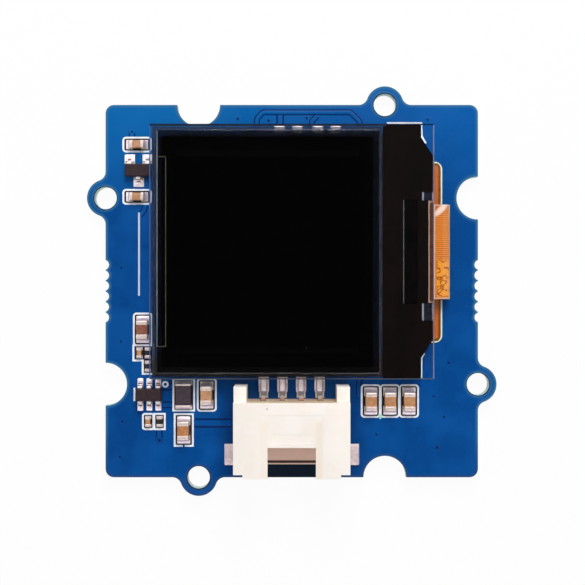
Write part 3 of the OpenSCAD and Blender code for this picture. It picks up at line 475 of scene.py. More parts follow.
def flexMaterial():
    # u runs across the flex and v along it, both in mm
    t, at = flexTones, flexPlaces
    mat, tree, live = finish("amberFilm", (206, 116, 36), (184, 92, 26), 1.6, 0.3, 0.15, 0.3, 0.002,
                             {"Coat Weight": 0.4, "Coat Roughness": 0.1})
    across, along = uvOf(tree)
    rim = rimOf(tree)
    # copper lines are only clear on one half of the fold, and darker shapes on the other
    waves = maths(tree, "SINE", times(tree, across, 2 * pi / at["pitch"]))
    copper = within(tree, (across, *at["copperLeft"]), (across, *at["copperRight"]))
    lines = times(tree, fade(tree, waves, -0.4, 0.4), copper)
    golden = within(tree, (across, *at["goldRight"]), (across, *at["goldLeft"]), (along, *at["goldStart"]))
    marks = put(tree, "TexNoise", {"Vector": placeOn(tree)[0], "Scale": 1.3, "Detail": 1.5})
    ridge = away(tree, marks.outputs["Fac"], 0.5)
    blotch = times(tree, fade(tree, ridge, 0.06, 0.015, 0.0, 0.9), golden)
    # brown where it is bonded under the glass, pink at its inner end, and a painted pink glint where it
    # passes the glass edge
    bonded = fade(tree, along, *at["bond"])
    starts, ends = at["glassEdgeGlint"]
    pinkEndAndGlint = maths(tree, "ADD", fade(tree, along, *at["bondEnd"], 0.0, 0.75),
                 within(tree, (along, *starts), (along, *ends, 0.0, 0.75)))
    # a slanting painted glare in one corner of the fold: squares of the way across and along it
    on = maths(tree, "SUBTRACT", along, at["paintedGlare"][1])
    over = maths(tree, "SUBTRACT", maths(tree, "SUBTRACT", across, at["paintedGlare"][0]), times(tree, on, 0.75))
    squares = [maths(tree, "POWER", maths(tree, "DIVIDE", value, half), 2)
               for value, half in zip((over, on), at["paintedGlareHalf"])]
    paintedGlare = fade(tree, maths(tree, "ADD", *squares), 1.5, 0.1, 0.0, 0.85)
    # the outside of the fold catches the light
    fold = within(tree, (along, *at["foldStart"]), (along, *at["foldEnd"], 0.0, 0.8))
    # on the board: a dark seam inside the rim, and a pale bare rim
    tail = fade(tree, along, *at["tail"])
    seam = within(tree, (rim, *at["seam"]), (along, *at["tail"], 0.0, 0.9))
    border = times(tree, fade(tree, rim, *at["rim"]), maths(tree, "ADD", tail, 0.3, clamp=True))
    feed(mat, paint(tree, live, (copper, t["copper"]), (lines, t["line"]),
                    (times(tree, golden, 0.8), t["gold"]), (blotch, t["blotch"]), (bonded, t["bonded"]),
                    (pinkEndAndGlint, t["pinkEndAndGlint"]), (paintedGlare, t["paintedGlare"]), (fold, t["fold"]),
                    (times(tree, tail, 0.8), t["tail"]), (seam, t["seam"]), (border, t["rim"])))


def glassMaterial(name, tint, roughness, spread, lamps):
    # clear or dark glass, with a trace of uneven polish; rays on their way to a lamp pass
    # it, tinted by lamps, so that what lies behind it is lit
    mat, tree, live = finish(name, tint, tint, 3, roughness, spread, 0.4, 0.0,
                             {"Transmission Weight": 1.0, "IOR": 1.5})
    ray = put(tree, "LightPath").outputs["Is Shadow Ray"]
    clear = put(tree, "BsdfTransparent", {"Color": (*lamps, 1)}).outputs[0]
    solid = tree.nodes["Principled BSDF"].outputs[0]
    mixed = put(tree, "MixShader", {0: ray, 1: solid, 2: clear}).outputs[0]
    tree.links.new(mixed, tree.nodes["Material Output"].inputs["Surface"])
    return mat, tree, live


def glassEdgeMaterial():
    # ground edge: pale, with painted light and shade on each side: dark, nearly solid painted shade along the
    # top edge, dull along the bottom
    mat, tree, pale = glassMaterial("groundGlassEdge", (214, 226, 236), 0.4, 0.2, (0.84, 0.87, 0.9))
    low, high = nodeBox("display_glass")
    x, y = placeOn(tree)[1:3]
    inner, outer = 0.14, 0.1
    left = fade(tree, x, low[0] + inner, low[0] + outer)
    right = fade(tree, x, high[0] - inner, high[0] - outer)
    bottom = fade(tree, y, low[1] + inner, low[1] + outer)
    top = fade(tree, y, high[1] - inner, high[1] - outer)
    # each side's share, its painted light and shade colour, and how solid it is
    sides = [(right, (170, 176, 196), 0.25), (left, (36, 76, 140), 0.8),
             (bottom, (50, 64, 86), 0.8), (top, (8, 28, 58), 1.0)]
    paintedEdge, solid = pale, 0.0
    for share, tone, much in sides:
        paintedEdge = blend(tree, share, paintedEdge, tone)
        solid = maths(tree, "MAXIMUM", solid, times(tree, share, much))
    feed(mat, paintedEdge)
    feed(mat, maths(tree, "SUBTRACT", 1.0, solid), "Transmission Weight")
    feed(mat, fade(tree, top, 0.0, 1.0, 0.5, 0.05), "Specular IOR Level")


def glueMaterial():
    # seal of the panel, half clear: a navy tint that paints the shade of the board under the panel's margin,
    # browner and denser along the bottom
    mat, tree, live = finish("sealGlue", (26, 34, 56), (40, 44, 64), 1.5, 0.4, 0.1, 0.1, 0.0,
                             {"Specular IOR Level": 0.3})
    y = placeOn(tree)[2]
    feed(mat, blend(tree, fade(tree, y, -6, -8), live, (34, 28, 28)))
    feed(mat, fade(tree, y, -6, -8, 0.4, 0.6), "Alpha")


# all of these tones but the gate's grey are painted light and shade
housingTones = {"band": (238, 218, 198), "cavity": (255, 220, 202), "seam": (70, 50, 52),
                "gate": (150, 146, 146), "rear": (226, 200, 168)}
housingPlaces = {"cavityTop": (6.4, 5.9), "cavityHalf": (5.15, 4.95), "cavityBack": (-12.4, -12.7),
                 "seam": ((-18.08, -18.16), (-18.4, -18.32)), "rearTop": (7.38, 7.2),
                 "rearHalf": (4.75, 4.65), "rearFront": (-11.66, -11.6),
                 "shadeBands": ((2.2, 2.8), (3.4, 2.95)), "shadeBandsBack": (-13.2, -13.8),
                 "gate": (-2.55, -12.16, 7.4), "gateHalf": (0.16, 0.06)}


def housingMaterial():
    # ivory plastic, with painted light and shade: painted warm bounce light where light only reaches it off
    # other plastic
    t, at = housingTones, housingPlaces
    mat, tree, live = finish("ivoryPlastic", (246, 239, 232), (243, 235, 226), 2.2, 0.42, 0.08, 0.05, 0.0015,
                             {"Subsurface Weight": 0.15, "Subsurface Scale": 0.5 * mm,
                              "Subsurface Radius": (1.0, 0.6, 0.4)})
    where, x, y, z = placeOn(tree)
    wide = away(tree, x)
    # the cavity's painted warm bounce light, with painted dark shade in the seam along the front of its floor
    cavity = within(tree, (z, *at["cavityTop"]), (wide, *at["cavityHalf"]), (y, *at["cavityBack"]))
    back, front = at["seam"]
    seam = times(tree, within(tree, (y, *back), (y, *front)), cavity)
    # painted tan shade on the rear wall between the horns, and soft tan bands of painted shade beside the
    # panel of the roof
    rear = within(tree, (z, *at["rearTop"]), (wide, *at["rearHalf"]), (y, *at["rearFront"]))
    inner, outer = at["shadeBands"]
    shadeBands = within(tree, (wide, *inner), (wide, *outer), (y, *at["shadeBandsBack"]), (x, -3.2, 3.2, 0.25, 0.5))
    # the grey gate mark on the roof
    gate = put(tree, "VectorMath", {0: where, 1: at["gate"]}, operation="DISTANCE").outputs["Value"]
    mark = fade(tree, gate, *at["gateHalf"], 0.0, 0.5)
    feed(mat, paint(tree, live, (shadeBands, t["band"]), (cavity, t["cavity"]), (seam, t["seam"]),
                    (mark, t["gate"]), (rear, t["rear"])))


# the wall and bend tones are painted shade
terminalTones = {"wall": (140, 114, 102), "bend": (150, 142, 145), "tip": (186, 142, 84)}
terminalPlaces = {"wall": (-11.0, -11.15), "bendBack": (-11.15, -11.05), "bendFront": (-10.65, -10.75),
                  "tip": (-9.3, -9.1)}


def terminalMaterial():
    # tinned brass: pinkish painted shade by the wall, dark painted shade in the bend, bright on the foot,
    # brassy at the tip
    mat, tree, live = finish("tinnedBrass", (254, 246, 248), (244, 232, 234), 0.5, 0.62, 0.14, 0.08, 0.0006,
                             {"Metallic": 0.8})
    t, at = terminalTones, terminalPlaces
    y = placeOn(tree)[2]
    wall, tip = fade(tree, y, *at["wall"]), fade(tree, y, *at["tip"])
    bend = within(tree, (y, *at["bendBack"]), (y, *at["bendFront"]))
    feed(mat, paint(tree, live, (wall, t["wall"]), (bend, t["bend"]), (tip, t["tip"])))


def solderMaterial():
    # bright where it lies on the land, duller where it climbs a chip's end
    mat, tree, live = finish("solder", (250, 234, 242), (232, 216, 226), 0.4, 0.52, 0.14, 0.2, 0.002,
                             {"Metallic": 0.65})
    climbed = fade(tree, placeOn(tree)[3], 1.8, 1.95, 0.0, 0.35)
    feed(mat, blend(tree, climbed, live, (150, 128, 118)))


def leadMaterial():
    # tinned legs, u being the way along them: bright shoulder, painted shade on the bend, bright foot
    mat, tree, live = finish("tinnedLead", (246, 236, 238), (226, 212, 216), 0.4, 0.4, 0.14, 0.08, 0.0008,
                             {"Metallic": 0.55})
    along = uvOf(tree)[0]
    # painted shade on the bend
    bend = within(tree, (along, 0.3, 0.4), (along, 1.12, 0.98))
    feed(mat, blend(tree, bend, live, (120, 96, 84)))


for makeMaterial in (maskMaterial, laminateMaterial, trackMaterial, viaMaterial, inkMaterial,
                     flexMaterial, glassEdgeMaterial, glueMaterial, housingMaterial,
                     terminalMaterial, solderMaterial, leadMaterial):
    makeMaterial()
glassMaterial("panelGlass", (244, 249, 252), 0.02, 0.02, (0.95, 0.965, 0.975))
glassMaterial("polarisingFilm", (142, 143, 146), 0.03, 0.02, (0.6, 0.6, 0.61))
glassMaterial("sealingGlass", (140, 147, 158), 0.02, 0.02, (0.84, 0.86, 0.88))

# even finishes: two colours, patch, roughness, spread, grain, depth and specular level
ceramic = (0.45, 0.42, 0.15, 0.03, 0.0015, 0.45)
edgeLine = (0.4, 0.1, 0.05, 0.0, 0.5)
evenFinishes = {
    # mask over bare laminate, deepened by painted shade round the chips
    "bareLaminateAndShade": ((20, 17, 28), (28, 22, 34), 0.6, 0.5, 0.15, 0.08, 0.002, 0.25),
    "brownCeramic": ((188, 138, 98), (172, 120, 78), *ceramic),
    "orangeCeramic": ((182, 128, 86), (168, 108, 62), *ceramic),
    "redCeramic": ((142, 86, 64), (120, 68, 52), *ceramic),
    "paleCeramic": ((186, 142, 106), (172, 124, 88), *ceramic),
    "blackGlaze": ((18, 16, 20), (28, 24, 30), 0.4, 0.35, 0.1, 0.05, 0.001, 0.5),
    "greyFerrite": ((58, 45, 52), (48, 39, 47), 0.5, 0.55, 0.15, 0.04, 0.003, 0.3),
    "mouldCompound": ((44, 31, 36), (54, 40, 43), 0.3, 0.5, 0.12, 0.03, 0.004, 0.15),
    "emittingFilm": ((2, 2, 3), (5, 4, 5), 2, 0.2, 0.05, 0.2, 0.0, 0.1),
    "dryingSheet": ((9, 8, 8), (14, 12, 11), 0.8, 0.8, 0.1, 0.06, 0.01, 0.1),
    "backFilm": ((3, 3, 4), (6, 5, 6), 2, 0.5, 0.1, 0.1, 0.0, 0.1),
    "paleEdge": ((150, 166, 176), (120, 138, 150), 0.6, *edgeLine),
    "windowEdge": ((140, 136, 150), (112, 110, 124), 0.4, *edgeLine),
    "darkEdgeShade": ((8, 20, 40), (14, 28, 50), 0.8, *edgeLine),
    "greyEdgeGlint": ((74, 74, 76), (60, 60, 62), 0.6, *edgeLine),
    "dullEdge": ((104, 104, 86), (84, 80, 66), 0.6, *edgeLine),
    "greenSpeck": ((150, 226, 190), (120, 200, 170), 0.3, *edgeLine),
    "siliconBack": ((8, 6, 6), (13, 9, 9), 1.2, 0.3, 0.05, 0.05, 0.0005, 0.1),
    "blackTape": ((20, 14, 13), (27, 18, 16), 2.2, 0.5, 0.12, 0.15, 0.003, 0.05),
    "tapeLiner": ((232, 236, 240), (206, 212, 222), 0.5, 0.5, 0.1, 0.06, 0.004, 0.5),
    "bondGlue": ((14, 14, 22), (28, 28, 40), 0.5, 0.35, 0.15, 0.08, 0.004, 0.1),
    "greyFoam": ((22, 20, 20), (30, 28, 28), 0.3, 0.9, 0.05, 0.08, 0.02, 0.1),
}
for name, recipe in evenFinishes.items():
    finish(name, *recipe[:-1], {"Specular IOR Level": recipe[-1]})
# metals: two colours, patch, roughness, grain, depth, and how much of the light is mirrored
metals = {
    "tinnedLand": ((226, 208, 170), (236, 228, 214), 0.5, 0.42, 0.08, 0.0008, 1.0),
    "tinnedEnd": ((222, 206, 202), (204, 186, 180), 0.3, 0.45, 0.06, 0.0012, 0.8),
    "mattTin": ((212, 196, 198), (198, 180, 182), 0.4, 0.55, 0.08, 0.0015, 0.85),
}
for name, (first, second, patch, roughness, grain, depth, mirrored) in metals.items():
    finish(name, first, second, patch, roughness, 0.14, grain, depth, {"Metallic": mirrored})
print("materials:", len(materials))


# circuit board
boardSizes = {"half": 20.0, "corner": 0.9, "earOut": 10.0, "earRadius": 2.0, "holeRadius": 1.2,
              "fillet": 1.0, "notch": 2.3, "biteRadius": 0.55, "bitePitch": 1.13, "biteCount": 6,
              "biteOut": 0.18, "bevel": 0.05, "mesh": 0.9, "rings": (0.15, 0.32, 0.6)}
boardLow, boardHigh = nodeBox("circuit_board")
boardTop = boardHigh[2]


def boardSide(bitten):
    # the top edge from left to right: corner, notch, perforations, ear with its fillets
    s = boardSizes
    half, out, f = s["half"], s["earOut"], s["fillet"]
    reach = s["earRadius"] + f
    lean = np.degrees(np.arcsin(f / reach))
    spread = reach * np.cos(np.radians(lean))
    parts = [arc(s["corner"] - half, half - s["corner"], s["corner"], 180, 90, 6),
             arc(-out, half, s["notch"], 180, 360, 28)]
    if bitten:
        lift = np.degrees(np.arcsin(s["biteOut"] / s["biteRadius"]))
        middles = (np.arange(s["biteCount"]) - (s["biteCount"] - 1) / 2) * s["bitePitch"]
        parts += [arc(m, half + s["biteOut"], s["biteRadius"], 180 + lift, 360 - lift, 8) for m in middles]
    parts += [arc(out - spread, half + f, f, 270, 360 - lean, 7),
              arc(out, half, s["earRadius"], 180 - lean, lean, 24),
              arc(out + spread, half + f, f, 180 + lean, 270, 7)]
    return np.concatenate(parts)


def boardOutline():
    # the same side four times, a quarter turn apart, counter-clockwise
    sides = []
    for i in range(4):
        a = -i * pi / 2
        sides.append(boardSide(i % 2) @ np.array([[np.cos(a), np.sin(a)], [-np.sin(a), np.cos(a)]]))
    return np.concatenate(sides)[::-1]


def filledIn(outline, step):
    # extra points along the straights, about a step apart
    after = np.roll(outline, -1, axis=0)
    length = np.linalg.norm(after - outline, axis=1)
    runs = [a + (b - a) * np.arange(n)[:, None] / n
            for a, b, n in zip(outline, after, np.maximum(1, np.round(length / step)).astype(int))]
    return np.concatenate(runs)


def drawnIn(outline, by):
    # each point moved along the normal to the left of its path
    ahead = np.roll(outline, -1, axis=0) - np.roll(outline, 1, axis=0)
    ahead /= np.linalg.norm(ahead, axis=1, keepdims=True)
    return outline + by * np.stack([-ahead[:, 1], ahead[:, 0]], -1)


def distanceTo(points, loops):
    # shortest distance from each point to the segments of the loops
    start = np.concatenate(loops)
    step = np.concatenate([np.roll(l, -1, axis=0) for l in loops]) - start
    best = np.full(len(points), 9.0)
    for block in np.array_split(np.arange(len(points)), 12):
        gap = points[block, None, :] - start
        t = np.clip((gap * step).sum(-1) / np.maximum((step ** 2).sum(-1), 1e-12), 0, 1)
        best[block] = np.linalg.norm(gap - t[..., None] * step, axis=-1).min(1)
    return best


def insideOf(points, loop):
    # even-odd rule: crossings of a ray towards +X
    a, b = loop, np.roll(loop, -1, axis=0)
    y = points[:, 1:2]
    spans = (a[:, 1] > y) != (b[:, 1] > y)
    rise = np.where(b[:, 1] == a[:, 1], 1e-12, b[:, 1] - a[:, 1])
    at = a[:, 0] + (y - a[:, 1]) / rise * (b[:, 0] - a[:, 0])
    return (spans & (points[:, 0:1] < at)).sum(1) % 2 == 1


def offHoles(points, centres):
    nearest = np.linalg.norm(points[:, None] - np.array(centres), axis=-1).min(1)
    return nearest > boardSizes["holeRadius"]


def makeBoard():
    # faces triangulated between the outline, the holes and inner points; walls and
    # rims as rings; rim holds each point's distance to the nearest edge
    s = boardSizes
    outline = filledIn(boardOutline(), s["mesh"])
    out = s["earOut"]
    centres = [(out, s["half"]), (s["half"], -out), (-out, -s["half"]), (-s["half"], out)]
    loops = [outline] + [arc(x, y, s["holeRadius"], 360, 0, 32)[:-1] for x, y in centres]
    rims = [drawnIn(l, s["bevel"]) for l in loops]
    inner = [drawnIn(l, d) for l in loops for d in s["rings"]]
    span = np.arange(-s["half"] - 2, s["half"] + 2, s["mesh"])
    spots = np.concatenate(inner + [np.stack(np.meshgrid(span, span), -1).reshape(-1, 2)])
    spots = spots[insideOf(spots, outline)]
    keep = (distanceTo(spots, loops) > 0.9 * s["rings"][0]) & offHoles(spots, centres)
    flat = np.concatenate(rims + [spots[keep]])
    edges, start = [], 0
    for l in loops:
        k = np.arange(len(l))
        edges += np.stack([k + start, (k + 1) % len(l) + start], -1).tolist()
        start += len(l)
    found = geometry.delaunay_2d_cdt([Vector(p) for p in flat], edges, [], 2, 1e-7)
    flat, cells = np.array([list(p) for p in found[0]]), np.array(found[2])
    cells = cells[offHoles(flat[cells].mean(1), centres)]
    count, low, high = len(flat), boardLow[2], boardTop
    points = [np.c_[flat, np.full(count, high)], np.c_[flat, np.full(count, low)]]
    faces = cells.tolist() + (cells[:, ::-1] + count).tolist()
    kinds = [0] * len(faces)
    wallStart, ringStart = 2 * count, 0
    for l in loops:
        n = len(l)
        points += [np.c_[l, np.full(n, high - s["bevel"])], np.c_[l, np.full(n, low + s["bevel"])]]
        k = np.arange(n)
        top, bottom = ringStart + k, ringStart + k + count
        upper, lower = wallStart + k, wallStart + n + k
        for a, b, kind in ((bottom, lower, 0), (lower, upper, 1), (upper, top, 0)):
            faces += np.stack([a, np.roll(a, -1), np.roll(b, -1), b], -1).tolist()
            kinds += [kind] * n
        wallStart, ringStart = wallStart + 2 * n, ringStart + n
    points = np.concatenate(points)
    makePiece("board", (points, faces), ["maskBlue", "laminateEdge"], ["circuit_board"],
              faceFinish=kinds, rim=distanceTo(points[:, :2], loops), angle=30)


makeBoard()

# copper routes that show through the mask, as (points in mm, width of the copper)
trackSizes = {"gap": 0.19, "edge": 0.03, "rise": 0.012, "bend": 0.35, "lift": 0.002, "sink": 0.01}
routes = [
    ([(-3.75, 17.55), (-3.75, 18.5), (-3.1, 19.2), (6.3, 19.2), (7.3, 18.2), (7.3, 16.2)], 0.3),
    ([(-1.25, 18.9), (-1.25, 16.2)], 0.5),
    ([(2.15, 16.2), (2.15, 18.2), (2.75, 18.85)], 0.3),
    ([(-10.4, -14.17), (-6.5, -14.17)], 0.72),
    ([(-14.22, -14.9), (-14.22, -15.9)], 0.4),
    ([(-13.9, -10.27), (-12.8, -10.27)], 0.5),
    ([(-13.9, -12.21), (-12.8, -12.21)], 0.4),
    ([(-16.3, -12.5), (-16.36, -13.0)], 0.4),
    ([(-17.15, 16.5), (-17.15, 17.0)], 0.36),
    ([(-15.7, 9.2), (-15.9, 8.6), (-16.3, 8.1)], 0.3),
    ([(8.0, -7.9), (8.0, -8.8), (7.2, -9.6), (7.2, -11.4)], 0.25),
]
# covered holes, as (x, y, size); those above the large size have a clear gap round them
viaSizes = {"outer": 0.3, "rise": 0.012, "sides": 16, "large": 1.2}
vias = [(-5.8, 18.5, 1), (-2.5, 18.3, 1), (1.6, 18.55, 1), (14.6, 18.4, 1), (-18.3, 2.5, 1),
        (-18.35, -5.4, 1), (-18.2, -14.0, 1), (-18.45, -17.8, 1), (16.85, -7.7, 1), (15.25, -11.3, 1),
        (16.35, -13.5, 1), (9.1, -15.4, 0.9), (15.6, -16.8, 1.1), (-14.22, -16.0, 1.5),
        (-16.36, -13.1, 1.4), (-17.15, 17.1, 1.0)]


def track(points, copper):
    # a low ridge carried along the route: flat gap, rounded copper edge, copper, and back
    s = trackSizes
    path = bentPath(points, [s["bend"]] * (len(points) - 2), 5)
    half, e = copper / 2, s["edge"]
    across = np.array([-half - s["gap"], -half - e, -half + e, half - e, half + e, half + s["gap"]])
    height = boardTop + s["lift"] + s["rise"] * np.array([0, 0, 1, 1, 0, 0])
    spot = path[:, None, :] + pathNormals(path)[:, None, :] * across[None, :, None]
    upper = np.concatenate([spot, np.broadcast_to(height, spot.shape[:2])[..., None]], -1)
    lower = upper.copy()
    lower[..., 2] = boardTop - s["sink"]
    share = np.broadcast_to((across - across[0]) / (across[-1] - across[0]), spot.shape[:2])
    uv = np.stack([share, np.full(spot.shape[:2], 0.5)], -1).reshape(-1, 2)
    return thickSheet(upper, lower), np.tile(uv, (2, 1))


def via(x, y, size):
    # a shallow ring: radius against height, turned about its own axis
    s = viaSizes
    share = np.array([0.02, 0.3, 0.5, 0.75, 1.0])
    r = s["outer"] * size * share[:, None]
    height = boardTop + s["rise"] * size * np.array([0.1, 0.25, 0.9, 1.0, 0.1])
    a = np.linspace(0, 2 * pi, s["sides"], endpoint=False)
    ring = np.stack([x + r * np.cos(a), y + r * np.sin(a),
                     np.broadcast_to(height[:, None], (len(share), s["sides"]))], -1)
    foot = ring[-1:].copy()
    foot[..., 2] = boardTop - trackSizes["sink"]
    u = np.repeat(np.append(share, 1.0), s["sides"])
    return loft(np.concatenate([ring, foot])), np.stack([u, np.full(len(u), float(size > s["large"]))], -1)


for name, key, made in (("masked_tracks", "maskedTrack", [track(*route) for route in routes]),
                        ("tented_holes", "tentedHole", [via(*spot) for spot in vias])):
    makePiece(name, join([mesh for mesh, uv in made]), [key],
              uv=np.concatenate([uv for mesh, uv in made]), angle=60)
print("board, tracks and tented holes")

# two-ended chips. end: length of a metal end; reach and climb: its solder along the board
# and up its height; edge: how round it is; frame: gaps from its side and its end to the
# printed frame
chipKinds = {
    "large": {"end": 0.48, "reach": 0.45, "climb": 0.62, "edge": 0.13, "frame": (0.25, 0.6)},
    "small": {"end": 0.36, "reach": 0.38, "climb": 0.62, "edge": 0.1, "frame": (0.22, 0.58)},
    "tiny": {"end": 0.24, "reach": 0.1, "climb": 0.5, "edge": 0.06, "frame": (0.2, 0.22)},
    "resistor": {"end": 0.24, "reach": 0.1, "climb": 0.6, "edge": 0.04, "frame": (0.2, 0.22)},
    "coil": {"end": 0.2, "reach": 0.22, "climb": 0.35, "edge": 0.08, "frame": (0.19, 0.33)},
}
chips = [("capacitor_1", "small", "paleCeramic"), ("capacitor_2", "small", "paleCeramic"),
         ("capacitor_3", "large", "redCeramic"), ("capacitor_4", "tiny", "brownCeramic"),
         ("capacitor_5", "tiny", "brownCeramic"), ("capacitor_6", "large", "paleCeramic"),
         ("capacitor_7", "large", "orangeCeramic"), ("capacitor_8", "large", "brownCeramic"),
         ("capacitor_9", "large", "brownCeramic"), ("capacitor_10", "large", "brownCeramic"),
         ("resistor_1", "resistor", "blackGlaze"), ("resistor_2", "resistor", "blackGlaze"),
         ("resistor_3", "resistor", "blackGlaze"), ("inductor", "coil", "greyFerrite")]
# lip: (inset, way along) up the inner rim of a metal end
chipSizes = {"coreIn": 0.02, "coreShort": 0.1, "lip": ((0.025, 0.0), (0.004, 0.02), (0.0, 0.05)),
             "poolOut": 0.06, "patchThick": 0.012, "patchSink": 0.004, "patchCorner": 0.16}
landTop = nodeBox("capacitor_1_ends")[0][2]


def solderPool(reach, halfWidth, climb, foot=0.05, back=0.06):
    # hollow slope from a wall at x = 0 out to x = reach, highest in the middle:
    # height = climb times one minus a quarter circle, plus a low swelling
    s, t = np.meshgrid(np.linspace(0, 1, 9), np.linspace(-1, 1, 11), indexing="ij")
    slope = 1 - np.sqrt(np.clip(2 * s - s ** 2, 0, 1))
    height = climb * slope * (1 - 0.35 * t ** 4) + foot * (1 - s ** 6) * (1 - 0.7 * t ** 8)
    height += 0.35 * foot * np.sin(pi * s) * np.cos(pi * t / 2)
    x = -back * (s == 0) + reach * s * (1 - 0.1 * t ** 4)
    y = halfWidth * t * (1 - 0.07 * s ** 3)
    return thickSheet(np.stack([x, y, height], -1), np.stack([x, y, np.zeros_like(x)], -1))


def chipShapes(node, kind):
    # in the chip's own frame, long axis along X: body, metal ends, solder and bare patch, which is mask over
    # bare laminate deepened by painted shade
    k, s = chipKinds[kind], chipSizes
    low, high = nodeBox(node + "_ends")
    size, middle = high - low, (high + low) / 2
    turn = 90 if size[1] > size[0] else 0
    length, width, height = max(size[:2]), min(size[:2]), size[2]
    half, inner = length / 2, length / 2 - k["end"]
    body = alongX(stack(width / 2 - s["coreIn"], height / 2 - s["coreIn"], k["edge"] * 0.6,
                        [(0, -half + s["coreShort"]), (0, half - s["coreShort"])], 3))
    a = np.linspace(0, pi / 2, 5)
    profile = [(inset, inner + along) for inset, along in s["lip"]]
    profile += [(k["edge"] * (1 - np.cos(v)), half - k["edge"] * (1 - np.sin(v))) for v in a]
    end = alongX(stack(width / 2, height / 2, k["edge"], profile, 4))
    body, end = place(body, z=height / 2), place(end, z=height / 2)
    pool = place(solderPool(k["reach"], width / 2 + s["poolOut"], k["climb"] * height), half)
    seat = dict(x=middle[0], y=middle[1], z=low[2], turn=turn)
    ends = [place(place(end, turn=spin), **seat) for spin in (0, 180)]
    pools = [place(place(pool, turn=spin), **seat) for spin in (0, 180)]
    side, beyond = k["frame"]
    corner = np.array([half + beyond, width / 2 + side, 0])
    patch = plate(-corner, corner + [0, 0, s["patchThick"]], s["patchCorner"], 0.004, 1)
    patch = place(patch, middle[0], middle[1], boardTop - s["patchSink"], turn)
    return place(body, **seat), join(ends), pools, patch


pools, patches = [], []
for node, kind, key in chips:
    body, ends, solder, patch = chipShapes(node, kind)
    core = node.replace("capacitor", "ceramic").replace("resistor", "film") + "_core"
    makePiece(core, body, [key], [node])
    makePiece(node + "_caps", ends, ["tinnedEnd"], [node + "_ends"])
    pools += solder
    patches.append(patch)
print("two-ended chips:", len(chips))

# moulded chips, with the places of the legs above and below each
mouldSizes = {"draft": 0.12, "edge": 0.05, "corner": 0.08}
leadSizes = {"pitch": 0.96, "width": 0.46, "thick": 0.15, "out": 0.16, "tip": 1.48, "reach": 0.26,
             "bend": 0.13, "edge": 0.035, "inside": 0.15, "padWide": 0.52, "padSlim": 0.31}
moulded = [("regulator", (-1, 1), (0,)), ("converter", (-1, 0, 1), (-1, 0, 1)),
           ("transistor_1", (-1, 1), (0,)), ("transistor_2", (-1, 1), (0,))]


def mouldedBody(low, high):
    # draft above and below a flat parting band, with eased upper and lower rims
    s = mouldSizes
    half, middle = (high - low) / 2, (high + low) / 2
    band = leadSizes["thick"] / 2
    z, e, d = [low[2], middle[2] - band, middle[2] + band, high[2]], s["edge"], s["draft"]
    profile = [(d + e, z[0]), (d + 0.3 * e, z[0] + 0.3 * e), (d, z[0] + e), (0.0, z[1]), (0.0, z[2]),
               (d, z[3] - e), (d + 0.3 * e, z[3] - 0.3 * e), (d + e, z[3])]
    return place(stack(half[0], half[1], s["corner"], profile, 3), middle[0], middle[1])


def mouldedLead(edge, shoulder):
    # out of the parting band, down, and out again onto the land
    s = leadSizes
    drop = edge + s["out"] + s["thick"] / 2
    low = s["thick"] / 2
    path = bentPath([(edge - s["inside"], shoulder), (drop, shoulder), (drop, low), (s["tip"], low)],
                    [s["bend"], s["bend"]], 5)
    mesh = bentStrip(path, s["width"], s["thick"], s["edge"])
    u = np.repeat(pathLengths(path), len(mesh[0]) // len(path))
    return mesh, np.stack([u, np.full(len(u), 0.5)], -1)


for name, above, below in moulded:
    s = leadSizes
    low, high = nodeBox(name + "_body")
    middle = (low + high) / 2
    halfDepth = (high[1] - low[1]) / 2
    makePiece(name + "_mould", mouldedBody(low, high), ["mouldCompound"], [name + "_body"])
    lead, leadUv = mouldedLead(halfDepth, middle[2] - landTop)
    pad = s["padSlim"] if len(above) > 2 else s["padWide"]
    heel = halfDepth + s["out"] + s["thick"]
    pool = place(solderPool(s["tip"] + s["reach"] - heel, pad, s["thick"] * 0.9, foot=0.06, back=0.02), heel)
    pool = place(pool, turn=90)
    leads = []
    for row, turn in ((above, 0), (below, 180)):
        for i in row:
            spot = dict(x=middle[0] + i * s["pitch"], y=middle[1], z=landTop)
            leads.append(place(place(lead, turn=turn), **spot))
            pools.append(place(place(pool, turn=turn), **spot))
    makePiece(name + "_legs", join(leads), ["tinnedLead"], [name + "_leads"],
              uv=np.tile(leadUv, (len(leads), 1)))
print("moulded chips:", len(moulded))

# cable socket. sidePool and tipPool: reach and climb of the solder beside a terminal's foot
# and past its tip; soft: how much of the depth of the roof's panel is kept
socketSizes = {"bevel": 0.09, "horn": 1.85, "pinOut": 0.3, "pinWidth": 0.55, "pinThick": 0.4, "pinEdge": 0.07,
               "pinBends": (0.42, 0.24), "sidePool": (0.28, 0.34), "tipPool": (0.42, 0.3), "tipWide": 0.2,
               "tabThick": 0.25, "tabEdge": 0.05, "tabBend": 0.2, "tabPool": (0.1, 0.2), "back": 0.04,
               "roofDepth": 0.45, "soft": 0.22, "roofSink": 0.004, "hornShort": 0.26}
socketHigh = nodeBox("connector_housing")[1]


def easedSocket(points):
    # the roof's panel and catch pocket are shallow and soft, and the horns a little short
    s = socketSizes
    roof = socketHigh[2]
    points = points.copy()
    shallow = (points[:, 2] > roof - s["roofDepth"]) & (points[:, 2] < roof)
    points[shallow, 2] = roof - (roof - points[shallow, 2]) * s["soft"]
    points[points[:, 2] == roof, 2] = roof - s["roofSink"]
    points[points[:, 1] > socketHigh[1] - 0.05, 1] -= s["hornShort"]
    return points


bevelledCopy("socket_shell", "connector_housing", "ivoryPlastic",
             socketSizes["bevel"], easedSocket)
socketRear = socketHigh[1] - socketSizes["horn"]


def terminalShape(low, high):
    # straight pin through the rear wall, round bend, upright, and a foot on its land
    s = socketSizes
    half = s["pinThick"] / 2
    drop, upper, lower = socketRear + s["pinOut"] + half, high[2] - half, low[2] + half
    corners = [(low[1], upper), (drop, upper), (drop, lower), (high[1], lower)]
    strip = bentStrip(bentPath(corners, s["pinBends"], 8), s["pinWidth"], s["pinThick"], s["pinEdge"])
    return place(strip, (low[0] + high[0]) / 2)


